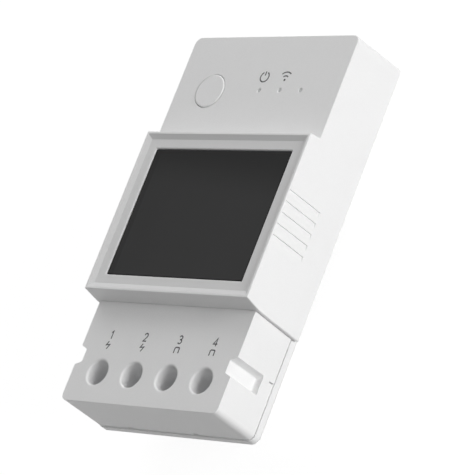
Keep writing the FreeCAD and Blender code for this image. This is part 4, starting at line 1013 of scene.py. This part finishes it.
@dataclass
class Electronics(Assembly):
    """The two boards and what stands on them."""

    nodes: tuple[str, ...] = (
        "main_board", "display_board", "display_board_screws", "board_header", "relay",
        "transformer", "bulk_capacitors", "suppression_capacitor", "line_choke", "varistor",
        "fuse", "shunt", "metering_chip", "radio_module", "radio_shield")


@dataclass(frozen=True)
class Softbox:
    """A square lamp that faces the object, with its place and side in metres, power in watts."""

    name: str
    place: Place
    power: float
    size: float = 1.0

    def hang(self) -> None:
        """Adds the lamp."""
        data = bpy.data.lights.new(self.name, "AREA")
        data.size = self.size
        data.energy = self.power
        lamp = place_object(self.name, data)
        lamp.location = self.place
        lamp.rotation_euler = Vector(self.place).to_track_quat("Z", "Y").to_euler()


@dataclass
class Studio:
    """Pale floor, soft lamps, even surroundings and the camera of the photograph.

    Places and sizes are in metres, and the lens and its sensor in millimetres.
    """

    camera_at: Place = (0.5589191, -0.2503994, 0.5257784)
    right: Place = (0.71240752, 0.34632896, -0.61035381)
    down: Place = (0.02944378, -0.88372508, -0.46707928)
    ahead: Place = (-0.70114805, 0.31477967, -0.63976963)
    lens: float = 255.51
    sensor: float = 36.0
    sight: float = 20.0
    floor_size: float = 6.0
    floor_cells: int = 8
    floor_gap: float = 0.0002
    paper: tuple[Colour, Colour] = ((0.79, 0.79, 0.79), (0.81, 0.81, 0.81))
    paper_noise: Noise = Noise(40.0, 2.0)
    paper_roughness: float = 0.9
    white: tuple[float, ...] = (1.0, 1.0, 1.0, 1.0)
    ambient: float = 0.12
    share: float = 0.8
    glow: float = 1.16
    lamps: tuple[Softbox, ...] = (
        Softbox("side_softbox", (1.5, 0.15, 0.25), 21.8),
        Softbox("far_softbox", (-0.8, 1.2, 0.8), 7.1),
        Softbox("back_softbox", (0.0, 1.5, 0.6), 3.8),
        Softbox("overhead_softbox", (-0.8, 0.3, 1.3), 3.1),
        Softbox("front_softbox", (-0.3, -1.0, 1.2), 1.2))

    def build(self) -> None:
        """Sets up everything round the object."""
        self._camera()
        self._floor()
        self._world()
        for lamp in self.lamps:
            lamp.hang()

    def _camera(self) -> None:
        """Places the camera as it was fitted to the photograph's corners."""
        data = bpy.data.cameras.new("photo_camera")
        data.lens = self.lens
        data.sensor_width = self.sensor
        data.clip_end = self.sight
        camera = place_object("photo_camera", data)
        columns = [Vector(self.right), -Vector(self.down), -Vector(self.ahead)]
        turn = Matrix(columns).transposed().to_4x4()
        camera.matrix_world = Matrix.Translation(self.camera_at) @ turn
        bpy.context.scene.camera = camera

    def _floor(self) -> None:
        """A wide pale floor that is white to the camera and keeps a soft shadow."""
        sheet = bmesh.new()
        bmesh.ops.create_grid(sheet, x_segments=self.floor_cells, y_segments=self.floor_cells,
                              size=self.floor_size / 2)
        floor = place_object("floor", take_mesh(sheet, "floor"))
        floor.location.z = -self.floor_gap
        floor.data.materials.append(self._floor_finish())

    def _floor_finish(self) -> bpy.types.Material:
        """The floor's material: plain paper to the light, and nearly white to the camera.

        Returns:
            The material.
        """
        graph = Graph("floor_paper")
        tone = graph.blend(graph.speckle(self.paper_noise), *self.paper)
        graph.surface(Base_Color=tone, Roughness=self.paper_roughness)
        glow = graph.node("ShaderNodeEmission", {}, {"Color": self.white, "Strength": self.glow})
        paper = Wire(graph, graph.shader.outputs[0])
        factor, lit, seen = 0, 1, 2
        mixed = graph.node("ShaderNodeMixShader", {}, {
            factor: seen_rays(graph) * self.share, lit: paper, seen: glow})
        out = graph.tree.nodes["Material Output"]
        graph.tree.links.new(mixed.socket, out.inputs["Surface"])
        return graph.owner

    def _world(self) -> None:
        """Even pale surroundings, white to the camera and to gloss."""
        world = bpy.data.worlds.new("surroundings")
        world.use_nodes = True
        bpy.context.scene.world = world
        graph = Graph(world)
        graph.shader.inputs["Color"].default_value = self.white
        level = self.ambient + seen_rays(graph) * (1 - self.ambient)
        graph.tree.links.new(level.socket, graph.shader.inputs["Strength"])
        bpy.context.scene.view_settings.view_transform = "Standard"


def main() -> None:
    """Builds every sub-assembly in order, and the studio round them."""
    logging.basicConfig(level=logging.INFO, format="%(name)s: %(message)s")
    for assembly in (Shells(), Screen(), Controls(), Terminals(), RailMount(), Electronics()):
        LOG.info("building %s", type(assembly).__name__)
        assembly.build()
    Studio().build()


if __name__ == "__main__":
    main()
